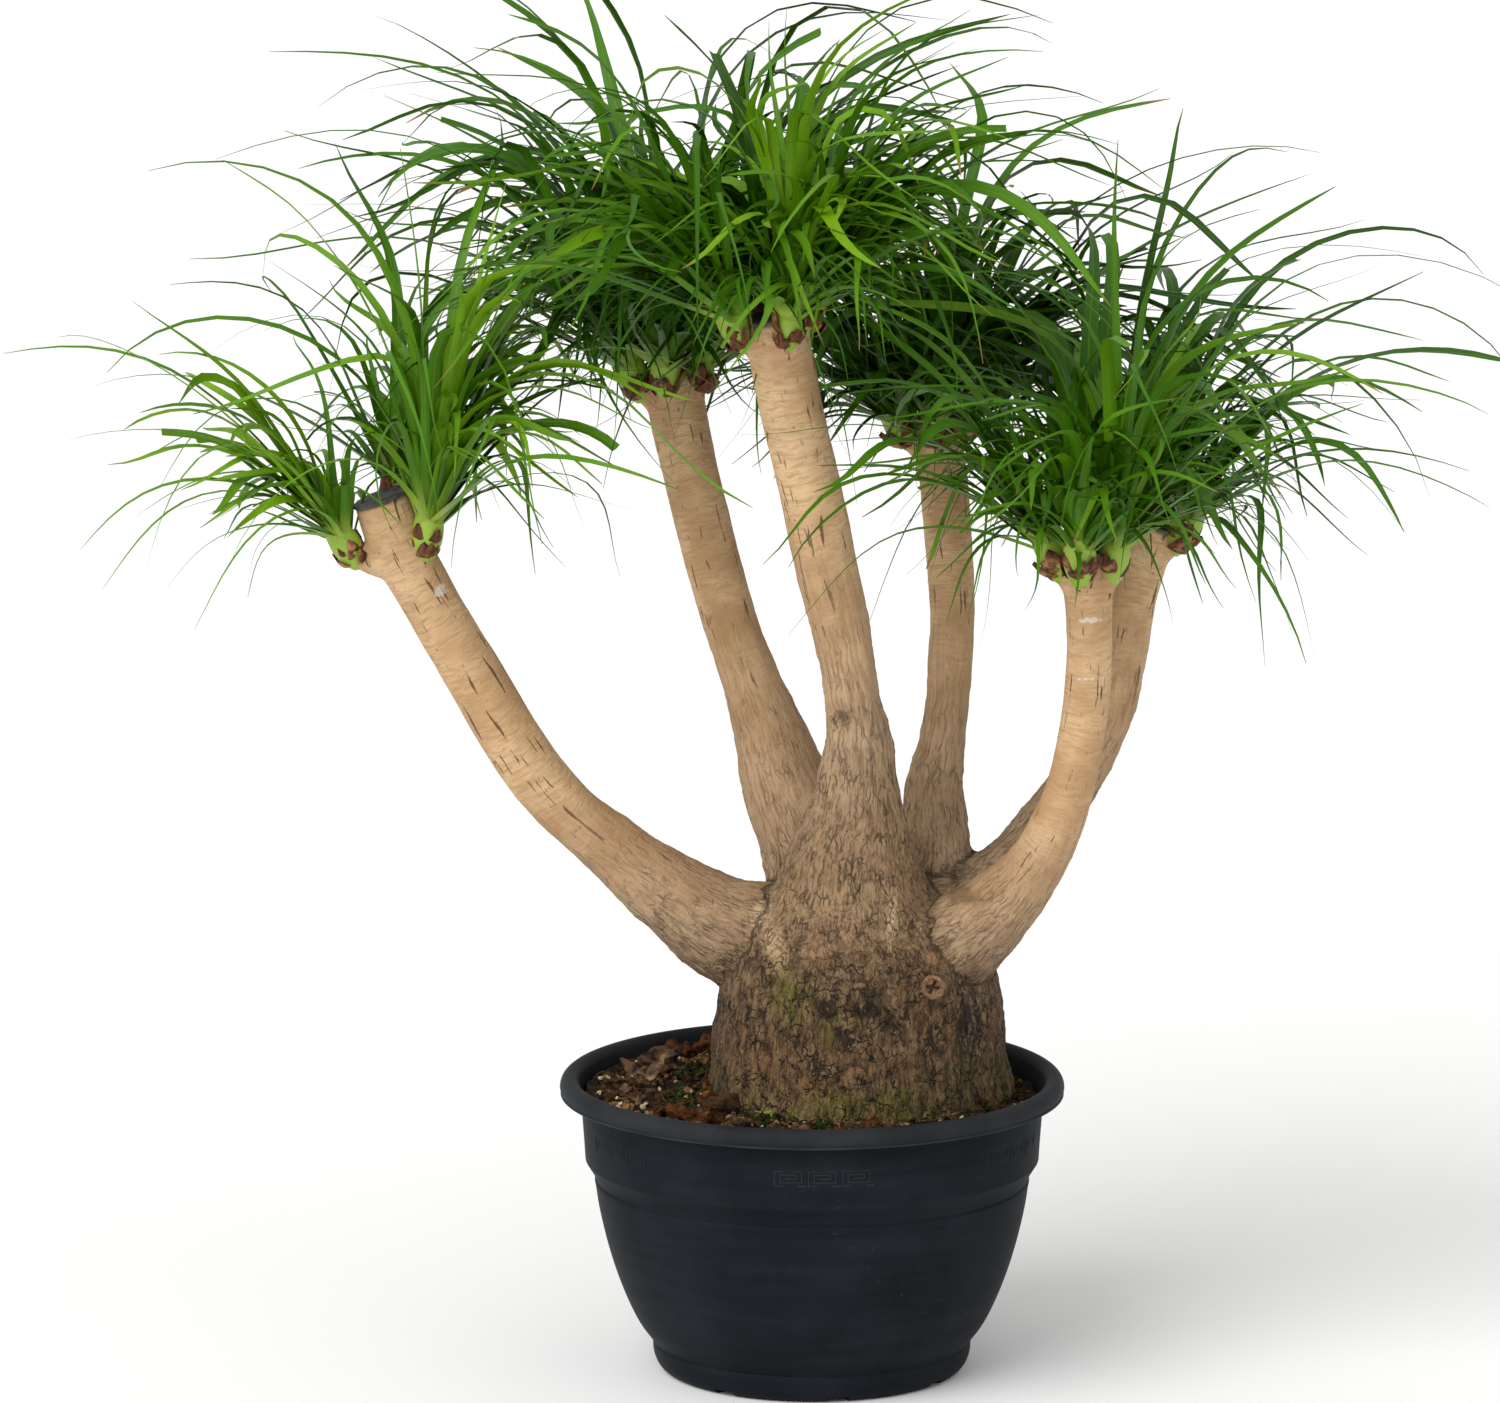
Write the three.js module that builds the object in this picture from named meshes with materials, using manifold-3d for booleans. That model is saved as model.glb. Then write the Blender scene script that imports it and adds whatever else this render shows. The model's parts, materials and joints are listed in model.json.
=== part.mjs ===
// A potted ponytail palm: six cut-back stems on one swollen foot, each topped by a ring of leafy
// shoots, standing in the soil of a round nursery pot.
//
// Millimetres, +Z up. The origin is the middle of the pot's underside. +X runs to the plant's right
// as it is seen from its front, and +Y away from the front.
import * as THREE from 'three';
import { mergeVertices } from 'three/addons/utils/BufferGeometryUtils.js';
import Module from 'manifold-3d';

const wasm = await Module();
wasm.setup();

const FIT_GAP = 0.4; // between pieces that touch
const DEGREE = Math.PI / 180;
const GOLDEN_ANGLE = 137.5; // degrees from one leaf to the next round a shoot

// ---- Pot: foot ring, round belly, upright band and rolled lip
const POT_HEIGHT = 237.5;
const POT_WALL = 4;
const POT_SIDES = 34;
const LIP_RADIUS = 200;
const LIP_WIDTH = 16;
const LIP_HEIGHT = 14;
const LIP_EDGE = 3; // its upright outer edge, below the rounding
const LIP_ANGLES = [0, 60, 120, 180]; // corners of the rounding
const BAND_TOP_RADIUS = 183.5;
const BAND_FOOT_RADIUS = 180;
const BAND_FOOT = 172;
const BAND_STEP = 4; // below the band's foot, where its edge is rounded in
const SHOULDER_RADIUS = 172.5;
const SHOULDER_HEIGHT = 155;
const BELLY = [[127.5, 15], [139.5, 40.5], [152, 68.5], [162, 99.5], [169, 131]]; // radius, height
const OUTSIDE_STEPS = 5; // straight steps that the belly's curve is drawn in
const INSIDE_STEPS = 2;
const FOOT_RADIUS = 126.5;
const FOOT_INNER_RADIUS = 111;
const FOOT_FLAT_RADIUS = 118;
const FOOT_EDGE = { inset: 3, rise: 9 }; // the foot ring's rounded outer edge
const PAD_RADIUS = 30; // middle of the underside, level with the foot ring
const UNDERSIDE_RAISE = 6;
const FLOOR_TOP = 10;
const FLOOR_RADIUS = 122; // inside, where the floor meets the wall
const NOTCHES = 8; // in the foot ring, so that water runs out
const NOTCH = { length: 30, width: 17, height: 4.5, firstAngle: -125 };
const DRAINS = { count: 6, radius: 6, circle: 78, sides: 8 };

// ---- Soil
const SOIL_EDGE_HEIGHT = 219;
const SOIL_CROWN_HEIGHT = 223; // where it meets the trunk
const SOIL_RADIUS = 178.6; // at its surface
const SOIL_SLOPE_FOOT = 154;
const SOIL_SLOPE_TOP = 129;
const HOLE_MARGIN = 10; // how far the cutter of the trunk's hole stands above the soil's crown

// ---- Swollen foot of the trunk: radius at each height, on an axis beside the pot's
const FOOT_AXIS = [34, 8];
const FOOT_OUTLINE = [
  [78, 158], [106, 172], [110, 186], [110, 226], [114, 240], [114, 262], [111.5, 290],
  [108, 318], [100, 340], [90, 358], [76, 374], [54, 390],
];
const FOOT_SIDES = 28;
const FOOT_LOBES = [[3, 0.02, 40], [5, 0.022, 10], [7, 0.012, 65]]; // how many, how deep, turned by
const PLUG_FOOT = 186; // from here up to the soil's surface the foot has plain upright sides

// ---- Stems: centre x, y, z and radius, from inside the swollen foot to the cut top
const STEMS = {
  left: [
    [-10, 8, 336, 52], [-67, 5, 354, 41], [-111, 2, 382, 32], [-156, -2, 420, 25], [-193, -5, 451, 23],
    [-226, -8, 492, 23.5], [-264, -12, 557, 23], [-300, -16, 621, 22], [-325, -20, 669, 23],
    [-337, -22, 703, 22],
  ],
  back_left: [
    [20, 25, 349, 49], [0, 45, 401, 38], [-25, 66, 470, 33], [-37, 76, 508, 27], [-49, 84, 539, 23],
    [-61, 92, 570, 22], [-80, 104, 633, 22], [-98, 114, 704, 22], [-110, 122, 759, 23],
    [-115, 124, 781, 21],
  ],
  front: [
    [31, -8, 330, 84], [31, -12, 366, 70], [31, -21, 400, 56], [33, -30, 433, 45], [36, -38, 466, 34],
    [36, -48, 516, 26], [32, -54, 549, 22], [27, -58, 581, 22], [13, -66, 646, 24], [0, -73, 710, 24],
    [-15, -80, 774, 24], [-25, -85, 826, 24], [-32, -88, 855, 21],
  ],
  back: [
    [90, 40, 354, 41], [96, 72, 404, 30], [97, 88, 445, 25], [104, 103, 487, 19], [109, 115, 526, 18],
    [111, 132, 596, 18], [108, 146, 650, 19], [103, 160, 704, 19], [98, 166, 732, 18],
  ],
  front_right: [
    [91, -15, 333, 45], [131, -38, 366, 33], [168, -58, 409, 25], [192, -68, 455, 20],
    [205, -72, 501, 18], [213, -75, 553, 18], [215, -77, 601, 17.5], [213, -79, 649, 19],
    [211, -80, 670, 19],
  ],
  back_right: [
    [93, 25, 354, 40], [138, 56, 378, 27], [184, 72, 421, 22], [215, 80, 467, 20], [235, 86, 511, 20],
    [246, 91, 559, 20], [253, 95, 602, 20], [263, 100, 638, 20], [270, 103, 659, 20],
  ],
};
const STEM_SIDES = 10;
// The wound sealant on each cut top
const SEAL = { thickness: 2.4, overhang: 0.6, bevel: 2, sides: 12 };

// ---- Shoots: where each grows from its stem's top, the way it leans (compass angle from +X and
// tilt from upright), and its leaves: how many, how long, and how wide they spread from its axis.
// Its long leaves are the ones that stand out of the plant's outline: compass angle, rise, droop,
// sweep and length of each.
const SHOOTS = {
  left_inner: {
    at: [-303, -33, 664],
    lean: [0, 18],
    leaves: 8,
    length: 330,
    spread: 56,
    long: [
      [225, 88, 105, -40, 420], [140, 88, 10, 0, 280], [200, 80, 60, 0, 250], [150, 86, 145, -35, 370],
      [210, 70, 125, -25, 350], [245, 42, 115, -35, 270], [-60, 30, 45, 15, 340], [10, 74, 10, 0, 290],
      [-45, 72, 50, 0, 310], [45, 76, 10, 0, 270], [-60, 74, 50, -5, 320],
    ],
  },
  left_outer: {
    at: [-358, -24, 656],
    lean: [185, 52],
    leaves: 6,
    length: 250,
    spread: 58,
    long: [
      [185, 54, 65, 0, 315], [220, 48, 45, 15, 370], [205, 48, 75, -10, 250], [240, 50, 140, -30, 300],
      [235, 18, 80, 0, 140], [185, 80, 95, -5, 210], [185, 62, 30, -5, 240],
    ],
  },
  left_rear: {
    at: [-328, 4, 690],
    lean: [110, 24],
    leaves: 7,
    length: 270,
    spread: 66,
    long: [[180, 38, 55, 0, 260], [90, 40, 30, -15, 340]],
  },
  back_left_outer: {
    at: [-138, 112, 768],
    lean: [195, 46],
    leaves: 9,
    length: 320,
    spread: 62,
    long: [[215, 58, 80, -20, 430]],
  },
  back_left_front: { at: [-116, 102, 772], lean: [262, 34], leaves: 9, length: 290, spread: 62, long: [] },
  back_left_inner: { at: [-92, 120, 770], lean: [-15, 38], leaves: 7, length: 300, spread: 60, long: [] },
  back_left_rear: {
    at: [-114, 146, 776],
    lean: [150, 26],
    leaves: 10,
    length: 320,
    spread: 62,
    long: [
      [205, 64, 70, 0, 440], [145, 62, 100, -5, 440], [210, 72, 85, -25, 370], [160, 66, 60, 0, 370],
    ],
  },
  front_middle: {
    at: [-19, -108, 840],
    lean: [-70, 8],
    leaves: 12,
    length: 255,
    spread: 66,
    long: [
      [235, 80, 150, 15, 400], [110, 88, 40, 0, 220], [-40, 84, 35, 0, 210], [90, 80, 20, 0, 230],
      [265, 20, 60, -10, 330],
    ],
  },
  front_left: {
    at: [-53, -94, 838],
    lean: [196, 50],
    leaves: 8,
    length: 270,
    spread: 60,
    long: [[230, 74, 100, 10, 340], [190, 72, 70, 0, 300]],
  },
  front_inner: {
    at: [-8, -82, 846],
    lean: [0, 44],
    leaves: 8,
    length: 280,
    spread: 62,
    long: [[-25, 88, 110, 20, 300], [20, 66, 105, 20, 330], [-60, 30, 70, 30, 420]],
  },
  front_rear: {
    at: [-36, -64, 848],
    lean: [80, 20],
    leaves: 10,
    length: 250,
    spread: 70,
    long: [[50, 56, 50, 10, 310]],
  },
  back_outer: { at: [77, 161, 721], lean: [205, 48], leaves: 8, length: 260, spread: 62, long: [] },
  back_front: { at: [97, 146, 725], lean: [262, 30], leaves: 8, length: 290, spread: 66, long: [] },
  back_inner: { at: [116, 162, 724], lean: [-5, 40], leaves: 8, length: 290, spread: 62, long: [] },
  back_rear: {
    at: [99, 186, 726],
    lean: [60, 20],
    leaves: 11,
    length: 310,
    spread: 70,
    long: [[-20, 62, 80, 20, 400]],
  },
  front_right_left: {
    at: [193, -82, 656],
    lean: [188, 44],
    leaves: 8,
    length: 290,
    spread: 60,
    long: [[195, 40, 50, -5, 200], [225, 32, 70, 20, 340]],
  },
  front_right_middle: {
    at: [231, -86, 656],
    lean: [-10, 16],
    leaves: 9,
    length: 310,
    spread: 68,
    long: [
      [-45, 62, 85, 0, 500], [-35, 48, 70, -15, 400], [-40, 36, 15, 5, 260], [95, 86, 10, 0, 300],
      [-85, 62, 125, 0, 420],
    ],
  },
  front_right_small: {
    at: [207, -103, 657],
    lean: [-100, 26],
    leaves: 6,
    length: 190,
    spread: 50,
    long: [],
  },
  front_right_rear: {
    at: [212, -60, 664],
    lean: [95, 22],
    leaves: 8,
    length: 300,
    spread: 66,
    long: [[-60, 58, 65, 10, 500]],
  },
  back_right_outer: {
    at: [288, 96, 648],
    lean: [-5, 42],
    leaves: 7,
    length: 270,
    spread: 62,
    long: [
      [-60, 60, 130, 5, 420], [-60, 44, 160, -15, 200], [-80, 16, 70, 10, 330], [-40, 30, 55, 0, 300],
    ],
  },
  back_right_inner: {
    at: [252, 110, 650],
    lean: [140, 30],
    leaves: 9,
    length: 320,
    spread: 66,
    long: [[85, 62, 60, -50, 520]],
  },
  back_right_rear: {
    at: [276, 122, 654],
    lean: [50, 26],
    leaves: 9,
    length: 330,
    spread: 66,
    long: [[50, 66, 110, -25, 480], [30, 60, 105, -20, 400]],
  },
};
const SHOOT_CORE = [[8, -6], [13, 10], [12.5, 26], [6, 44]]; // radius along its axis
const CORE_TIP = 6; // above the last of those rings
const CORE_SIDES = 6;
const LEAF_WIDTH = 16;
const LEAF_THICKNESS = 0.13; // of its width, at the keel
// Along a leaf, from its root to just short of the tip: place and share of the full width
const LEAF_STATIONS = [[0, 0.3], [0.3, 1], [0.6, 0.8], [0.85, 0.42]];
const LEAF_STEPS = 20; // straight steps of a leaf's line
const LEAF_BEND = { sweep: 1.4, droop: 1.6 }; // powers by which it sweeps and droops towards its tip
const LEAF_TWIST = 0.4; // share of the roll that it has at its root
const ROOT_OFFSET = 4; // from the shoot's axis, towards the leaf
const ROOT_HEIGHTS = [12, 36]; // along the axis, of the outermost and the innermost leaf
const ROOT_HOLD = 6; // mm3 of a leaf that is sunk in its shoot's core
const LEAF_TRIES = 7;
const LEAF_NUDGE = { angle: 5, droop: 3 }; // degrees that each new try turns and bends a leaf by
const INWARD_POWER = 0.8; // how fast leaves close up on the axis from the outermost to the innermost
const INWARD_LENGTH = 0.2; // share of the shoot's length that the innermost leaf is longer by
const MOST_DROOP = 45; // degrees below level at a drawn leaf's tip

// What is drawn for each leaf, from its least to its most: angles in degrees, and shares
const LEAF_DRAWS = {
  aside: [0, 12], // added to its angle from the shoot's axis
  around: [-12, 12], // added to its place round that axis
  lowestRise: [14, 36],
  outerDroop: [0, 55], // in full for the outermost leaf, none for the innermost
  droop: [25, 70],
  sweep: [-22, 22],
  length: [0.58, 0.84], // of the shoot's length
  width: [0.85, 1.15], // of the leaf width
  roll: [-25, 25],
};
const TRAITS = Object.keys(LEAF_DRAWS);

// ---- Colours
const FINISHES = {
  pot: { color: 0x23272b, roughness: 0.5, metalness: 0 },
  soil: { color: 0x2f2117, roughness: 1, metalness: 0 },
  trunk: { color: 0xb08f68, roughness: 0.85, metalness: 0 },
  seal: { color: 0x4a4846, roughness: 0.6, metalness: 0 },
  shoot: { color: 0x3f7a1f, roughness: 0.5, metalness: 0 },
};

// ---- From geometry to solid and back

function toSolid(geometry) {
  const bare = geometry.clone();
  bare.deleteAttribute('normal');
  bare.deleteAttribute('uv');
  const merged = mergeVertices(bare, 1e-4);
  return new wasm.Manifold(new wasm.Mesh({
    numProp: 3,
    vertProperties: new Float32Array(merged.attributes.position.array),
    triVerts: new Uint32Array(merged.index.array),
  }));
}

function toGeometry(solid) {
  const mesh = solid.getMesh();
  const positions = new Float32Array(mesh.vertProperties);
  const geometry = new THREE.BufferGeometry();
  geometry.setAttribute('position', new THREE.BufferAttribute(positions, 3));
  geometry.setIndex(new THREE.BufferAttribute(new Uint32Array(mesh.triVerts), 1));
  geometry.computeVertexNormals();
  return geometry;
}

function namedMesh(name, solid, finish) {
  const mesh = new THREE.Mesh(toGeometry(solid), new THREE.MeshStandardMaterial(finish));
  mesh.name = name;
  return mesh;
}

/** A closed body through rings of equally many points, with a fan over each end. */
function loft(rings) {
  const sides = rings[0].length;
  const positions = rings.flat().flatMap((point) => point.toArray());
  const index = [];
  for (let ring = 0; ring + 1 < rings.length; ring += 1) {
    for (let side = 0; side < sides; side += 1) {
      const here = ring * sides + side;
      const next = ring * sides + ((side + 1) % sides);
      index.push(here, next, next + sides, here, next + sides, here + sides);
    }
  }
  const last = (rings.length - 1) * sides;
  for (let side = 1; side + 1 < sides; side += 1) {
    index.push(0, side + 1, side);
    index.push(last, last + side, last + side + 1);
  }
  const geometry = new THREE.BufferGeometry();
  geometry.setAttribute('position', new THREE.Float32BufferAttribute(positions, 3));
  geometry.setIndex(index);
  return toSolid(geometry);
}

/** Turns [radius, height] pairs about the Z axis. */
function turned(outline, sides) {
  const points = outline.map(([radius, height]) => new THREE.Vector2(radius, height));
  const geometry = new THREE.LatheGeometry(points, sides);
  geometry.rotateX(Math.PI / 2);
  return toSolid(geometry);
}

/** Carries out the cuts and joins that a solid stands for, one step at a time. */
function settled(solid) {
  return new wasm.Manifold(solid.getMesh());
}

function largest(solid) {
  return solid.decompose().reduce((most, body) => (body.volume() > most.volume() ? body : most));
}

function joined(solids) {
  return solids.reduce((sum, solid) => settled(sum.add(solid)));
}

// ---- Pot

/** The wall's line from the floor to under the lip, set in from the outside by an offset. */
function wallLine(offset, bellySteps) {
  const corners = BELLY.map(([radius, height]) => new THREE.Vector2(radius - offset, height));
  const belly = new THREE.SplineCurve(corners);
  return [
    ...belly.getPoints(bellySteps).map((point) => point.toArray()),
    [SHOULDER_RADIUS - offset, SHOULDER_HEIGHT],
    [BAND_FOOT_RADIUS - offset, BAND_FOOT - BAND_STEP],
    [BAND_TOP_RADIUS - offset, POT_HEIGHT - LIP_HEIGHT],
  ];
}

/** The lip's rounded top, from its outer edge over the crest to its inner edge. */
function lipLine() {
  const middle = LIP_RADIUS - LIP_WIDTH / 2;
  const spring = POT_HEIGHT - LIP_HEIGHT + LIP_EDGE;
  return LIP_ANGLES.map((angle) => [
    middle + (LIP_WIDTH / 2) * Math.cos(angle * DEGREE),
    spring + (POT_HEIGHT - spring) * Math.sin(angle * DEGREE),
  ]);
}

function makePot() {
  const outside = [
    [0, 0], [PAD_RADIUS, 0], [PAD_RADIUS + 1, UNDERSIDE_RAISE],
    [FOOT_INNER_RADIUS - 1, UNDERSIDE_RAISE], [FOOT_INNER_RADIUS, 0], [FOOT_FLAT_RADIUS, 0],
    [FOOT_RADIUS - FOOT_EDGE.inset, FOOT_EDGE.inset], [FOOT_RADIUS, FOOT_EDGE.rise],
    ...wallLine(0, OUTSIDE_STEPS),
    [LIP_RADIUS - 1, POT_HEIGHT - LIP_HEIGHT],
    ...lipLine(),
  ];
  const inside = [[0, FLOOR_TOP], [FLOOR_RADIUS, FLOOR_TOP], ...wallLine(POT_WALL, INSIDE_STEPS)].reverse();
  let pot = turned([...outside, ...inside], POT_SIDES);
  for (let notch = 0; notch < NOTCHES; notch += 1) {
    const cutter = new THREE.BoxGeometry(NOTCH.length, NOTCH.width, 2 * NOTCH.height);
    cutter.translate((FOOT_INNER_RADIUS + FOOT_RADIUS) / 2, 0, 0);
    cutter.rotateZ((NOTCH.firstAngle + (notch * 360) / NOTCHES) * DEGREE);
    pot = pot.subtract(toSolid(cutter));
  }
  for (let drain = 0; drain < DRAINS.count; drain += 1) {
    const { radius, sides } = DRAINS;
    const cutter = new THREE.CylinderGeometry(radius, radius, 4 * FLOOR_TOP, sides);
    cutter.rotateX(Math.PI / 2);
    cutter.translate(DRAINS.circle, 0, 0);
    cutter.rotateZ((drain * 360 * DEGREE) / DRAINS.count);
    pot = pot.subtract(toSolid(cutter));
  }
  return pot;
}

// ---- Trunk

function lobedRing(radius, height, grow) {
  return Array.from({ length: FOOT_SIDES }, (_, side) => {
    const angle = (side * 2 * Math.PI) / FOOT_SIDES;
    const swell = FOOT_LOBES.map(([count, depth, turn]) => depth * Math.cos(count * angle - turn * DEGREE));
    const reach = radius * swell.reduce((sum, share) => sum + share, 1) + grow;
    const [x, y] = FOOT_AXIS;
    return new THREE.Vector3(x + reach * Math.cos(angle), y + reach * Math.sin(angle), height);
  });
}

function makeFoot() {
  return loft(FOOT_OUTLINE.map(([radius, height]) => lobedRing(radius, height, 0)));
}

/** Rings square to a stem's centre line, each set out from the stem's surface by a growth. */
function stemRings(stations, grow) {
  const centres = stations.map(([x, y, z]) => new THREE.Vector3(x, y, z));
  const curve = new THREE.CatmullRomCurve3(centres, false, 'centripetal');
  const across = new THREE.Vector3(0, 1, 0);
  return stations.map(([, , , radius], station) => {
    const t = station / (stations.length - 1);
    const along = curve.getTangent(t);
    const side = new THREE.Vector3().crossVectors(across, along).normalize();
    const front = new THREE.Vector3().crossVectors(along, side);
    const centre = curve.getPoint(t);
    return Array.from({ length: STEM_SIDES }, (_, corner) => {
      const angle = (corner * 2 * Math.PI) / STEM_SIDES;
      return centre.clone()
        .addScaledVector(side, (radius + grow) * Math.cos(angle))
        .addScaledVector(front, (radius + grow) * Math.sin(angle));
    });
  });
}

function makeStem(stations, grow = 0) {
  return loft(stemRings(stations, grow));
}

function stemTop(stations) {
  const [x, y, z, radius] = stations.at(-1);
  const top = new THREE.Vector3(x, y, z);
  const below = new THREE.Vector3(...stations.at(-2));
  return { top, radius, along: top.clone().sub(below).normalize() };
}

/** Moves a shape built upright at the origin to a place, with its Z axis along a direction. */
function raised(geometry, place, along) {
  const turn = new THREE.Quaternion().setFromUnitVectors(new THREE.Vector3(0, 0, 1), along);
  geometry.applyQuaternion(turn);
  geometry.translate(place.x, place.y, place.z);
  return geometry;
}

function makeSeal(stations, grow = 0) {
  const { top, radius, along } = stemTop(stations);
  const crown = radius - SEAL.bevel + grow;
  const brim = radius + SEAL.overhang + grow;
  const disc = new THREE.CylinderGeometry(crown, brim, SEAL.thickness + 2 * grow, SEAL.sides);
  disc.rotateX(Math.PI / 2);
  disc.translate(0, 0, SEAL.thickness / 2 + FIT_GAP);
  return toSolid(raised(disc, top, along));
}

// ---- Soil

function makeSoil() {
  const inner = wallLine(POT_WALL + FIT_GAP, INSIDE_STEPS).filter(([, height]) => height < SOIL_EDGE_HEIGHT);
  const outline = [
    [0, FLOOR_TOP + FIT_GAP],
    [FLOOR_RADIUS - 2 * FIT_GAP, FLOOR_TOP + FIT_GAP],
    ...inner,
    [SOIL_RADIUS, SOIL_EDGE_HEIGHT],
    [SOIL_SLOPE_FOOT, SOIL_EDGE_HEIGHT],
    [SOIL_SLOPE_TOP, SOIL_CROWN_HEIGHT],
    [0, SOIL_CROWN_HEIGHT],
  ];
  const plug = FOOT_OUTLINE.filter(([, height]) => height <= PLUG_FOOT);
  const hole = [
    lobedRing(plug[0][0], plug[0][1] - FIT_GAP, FIT_GAP),
    ...plug.slice(1).map(([radius, height]) => lobedRing(radius, height - FIT_GAP / 2, FIT_GAP)),
    lobedRing(plug.at(-1)[0], SOIL_CROWN_HEIGHT + HOLE_MARGIN, FIT_GAP),
  ];
  return turned(outline, POT_SIDES).subtract(loft(hole));
}

// ---- Shoots

/** Scrambles a whole number into one of 32 bits: each step folds its high bits down and multiplies. */
function scrambled(number) {
  let mixed = Math.imul(number ^ (number >>> 15), 2246822519);
  mixed = Math.imul(mixed ^ (mixed >>> 13), 3266489917);
  return (mixed ^ (mixed >>> 16)) >>> 0;
}

/** A trait of a leaf, drawn evenly between its bounds and always the same for the same leaf. */
function drawn(shootNumber, leaf, trait) {
  const [least, most] = LEAF_DRAWS[trait];
  const traitNumber = TRAITS.indexOf(trait);
  const key = Math.imul(shootNumber + 1, 73856093)
    ^ Math.imul(leaf + 1, 19349663)
    ^ Math.imul(traitNumber + 1, 83492791);
  return least + (most - least) * (scrambled(key) / 2 ** 32);
}

function compass(angle, rise) {
  const level = Math.cos(rise * DEGREE);
  return new THREE.Vector3(
    level * Math.cos(angle * DEGREE), level * Math.sin(angle * DEGREE), Math.sin(rise * DEGREE),
  );
}

function shootAxis({ lean: [angle, tilt] }) {
  return compass(angle, 90 - tilt);
}

function makeCore(shoot) {
  const outline = [[0, SHOOT_CORE[0][1]], ...SHOOT_CORE, [0, SHOOT_CORE.at(-1)[1] + CORE_TIP]];
  const points = outline.map(([radius, height]) => new THREE.Vector2(radius, height));
  const core = new THREE.LatheGeometry(points, CORE_SIDES);
  core.rotateX(Math.PI / 2);
  return toSolid(raised(core, new THREE.Vector3(...shoot.at), shootAxis(shoot)));
}

/** How far along its shoot's axis a leaf is rooted: the more upright, the higher. */
function rootHeight(share) {
  const [lowest, highest] = ROOT_HEIGHTS;
  return lowest + (highest - lowest) * share;
}

/** The habit of one drawn leaf: outer leaves lie low and droop, inner ones stand up. */
function drawnHabit(shoot, shootNumber, leaf) {
  const take = (trait) => drawn(shootNumber, leaf, trait);
  const inward = leaf / (shoot.leaves - 1);
  const aside = shoot.spread * (1 - inward) ** INWARD_POWER + take('aside');
  const around = leaf * GOLDEN_ANGLE + take('around');
  const turn = new THREE.Quaternion().setFromUnitVectors(new THREE.Vector3(0, 0, 1), shootAxis(shoot));
  const start = compass(around, 90 - aside).applyQuaternion(turn);
  const rise = Math.max(Math.asin(start.z) / DEGREE, take('lowestRise'));
  const droop = take('droop') + (1 - inward) * take('outerDroop');
  return {
    angle: Math.atan2(start.y, start.x) / DEGREE,
    rise,
    droop: Math.min(droop, rise + MOST_DROOP),
    sweep: take('sweep'),
    length: shoot.length * (INWARD_LENGTH * inward + take('length')),
    height: rootHeight(inward),
  };
}

/** Every leaf of a shoot, the long ones first. */
function leafHabits(shoot, shootNumber) {
  const long = shoot.long.map(([angle, rise, droop, sweep, length]) => (
    { angle, rise, droop, sweep, length, height: rootHeight(rise / 90) }
  ));
  const others = Array.from({ length: shoot.leaves }, (_, leaf) => drawnHabit(shoot, shootNumber, leaf));
  return [...long, ...others].map((habit, leaf) => ({
    ...habit,
    width: LEAF_WIDTH * drawn(shootNumber, leaf, 'width'),
    roll: drawn(shootNumber, leaf, 'roll'),
  }));
}

/** A leaf's line: it sets out along its rise and bends down ever faster, sweeping a little aside. */
function leafLine(root, habit) {
  const line = [];
  const at = root.clone();
  for (let step = 0; step <= LEAF_STEPS; step += 1) {
    const place = step / LEAF_STEPS;
    const angle = habit.angle + habit.sweep * place ** LEAF_BEND.sweep;
    const along = compass(angle, habit.rise - habit.droop * place ** LEAF_BEND.droop);
    line.push({ at: at.clone(), along });
    at.addScaledVector(along, habit.length / LEAF_STEPS);
  }
  return line;
}

/** A three-sided blade: two edges and a keel, closing on a point at the tip. */
function makeBlade(root, habit, grow) {
  const line = leafLine(root, habit);
  const rings = LEAF_STATIONS.map(([place, share]) => {
    const { at, along } = line[Math.round(place * LEAF_STEPS)];
    const level = new THREE.Vector3(-along.y, along.x, 0).normalize();
    const across = level.applyAxisAngle(along, habit.roll * DEGREE * (LEAF_TWIST + place));
    const up = new THREE.Vector3().crossVectors(along, across);
    const half = (habit.width * share) / 2 + grow;
    const deep = (habit.width * LEAF_THICKNESS * (1 + share)) / 4 + grow;
    return [
      at.clone().addScaledVector(across, half).addScaledVector(up, deep),
      at.clone().addScaledVector(across, -half).addScaledVector(up, deep),
      at.clone().addScaledVector(up, -deep),
    ];
  });
  const tip = line.at(-1);
  const positions = rings.flat().concat([tip.at.clone().addScaledVector(tip.along, grow)]);
  const index = [0, 2, 1];
  for (let ring = 0; ring + 1 < rings.length; ring += 1) {
    for (let side = 0; side < 3; side += 1) {
      const here = ring * 3 + side;
      const next = ring * 3 + ((side + 1) % 3);
      index.push(here, next, next + 3, here, next + 3, here + 3);
    }
  }
  const last = (rings.length - 1) * 3;
  for (let side = 0; side < 3; side += 1) {
    index.push(last + side, last + ((side + 1) % 3), positions.length - 1);
  }
  const geometry = new THREE.BufferGeometry();
  const numbers = positions.flatMap((point) => point.toArray());
  geometry.setAttribute('position', new THREE.Float32BufferAttribute(numbers, 3));
  geometry.setIndex(index);
  geometry.computeBoundingBox();
  return { solid: toSolid(geometry), bounds: geometry.boundingBox };
}

function boundsOf(solid) {
  const { min, max } = solid.boundingBox();
  return new THREE.Box3(new THREE.Vector3(...min), new THREE.Vector3(...max));
}

/** Whether a grown blade keeps clear of every piece that belongs to another owner. */
function isClear(blade, owner, placed) {
  return placed.every((piece) => {
    if (piece.owner === owner || !piece.bounds.intersectsBox(blade.bounds)) {
      return true;
    }
    const shared = piece.solid.intersect(blade.solid);
    const clear = shared.isEmpty();
    shared.delete();
    return clear;
  });
}

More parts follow.
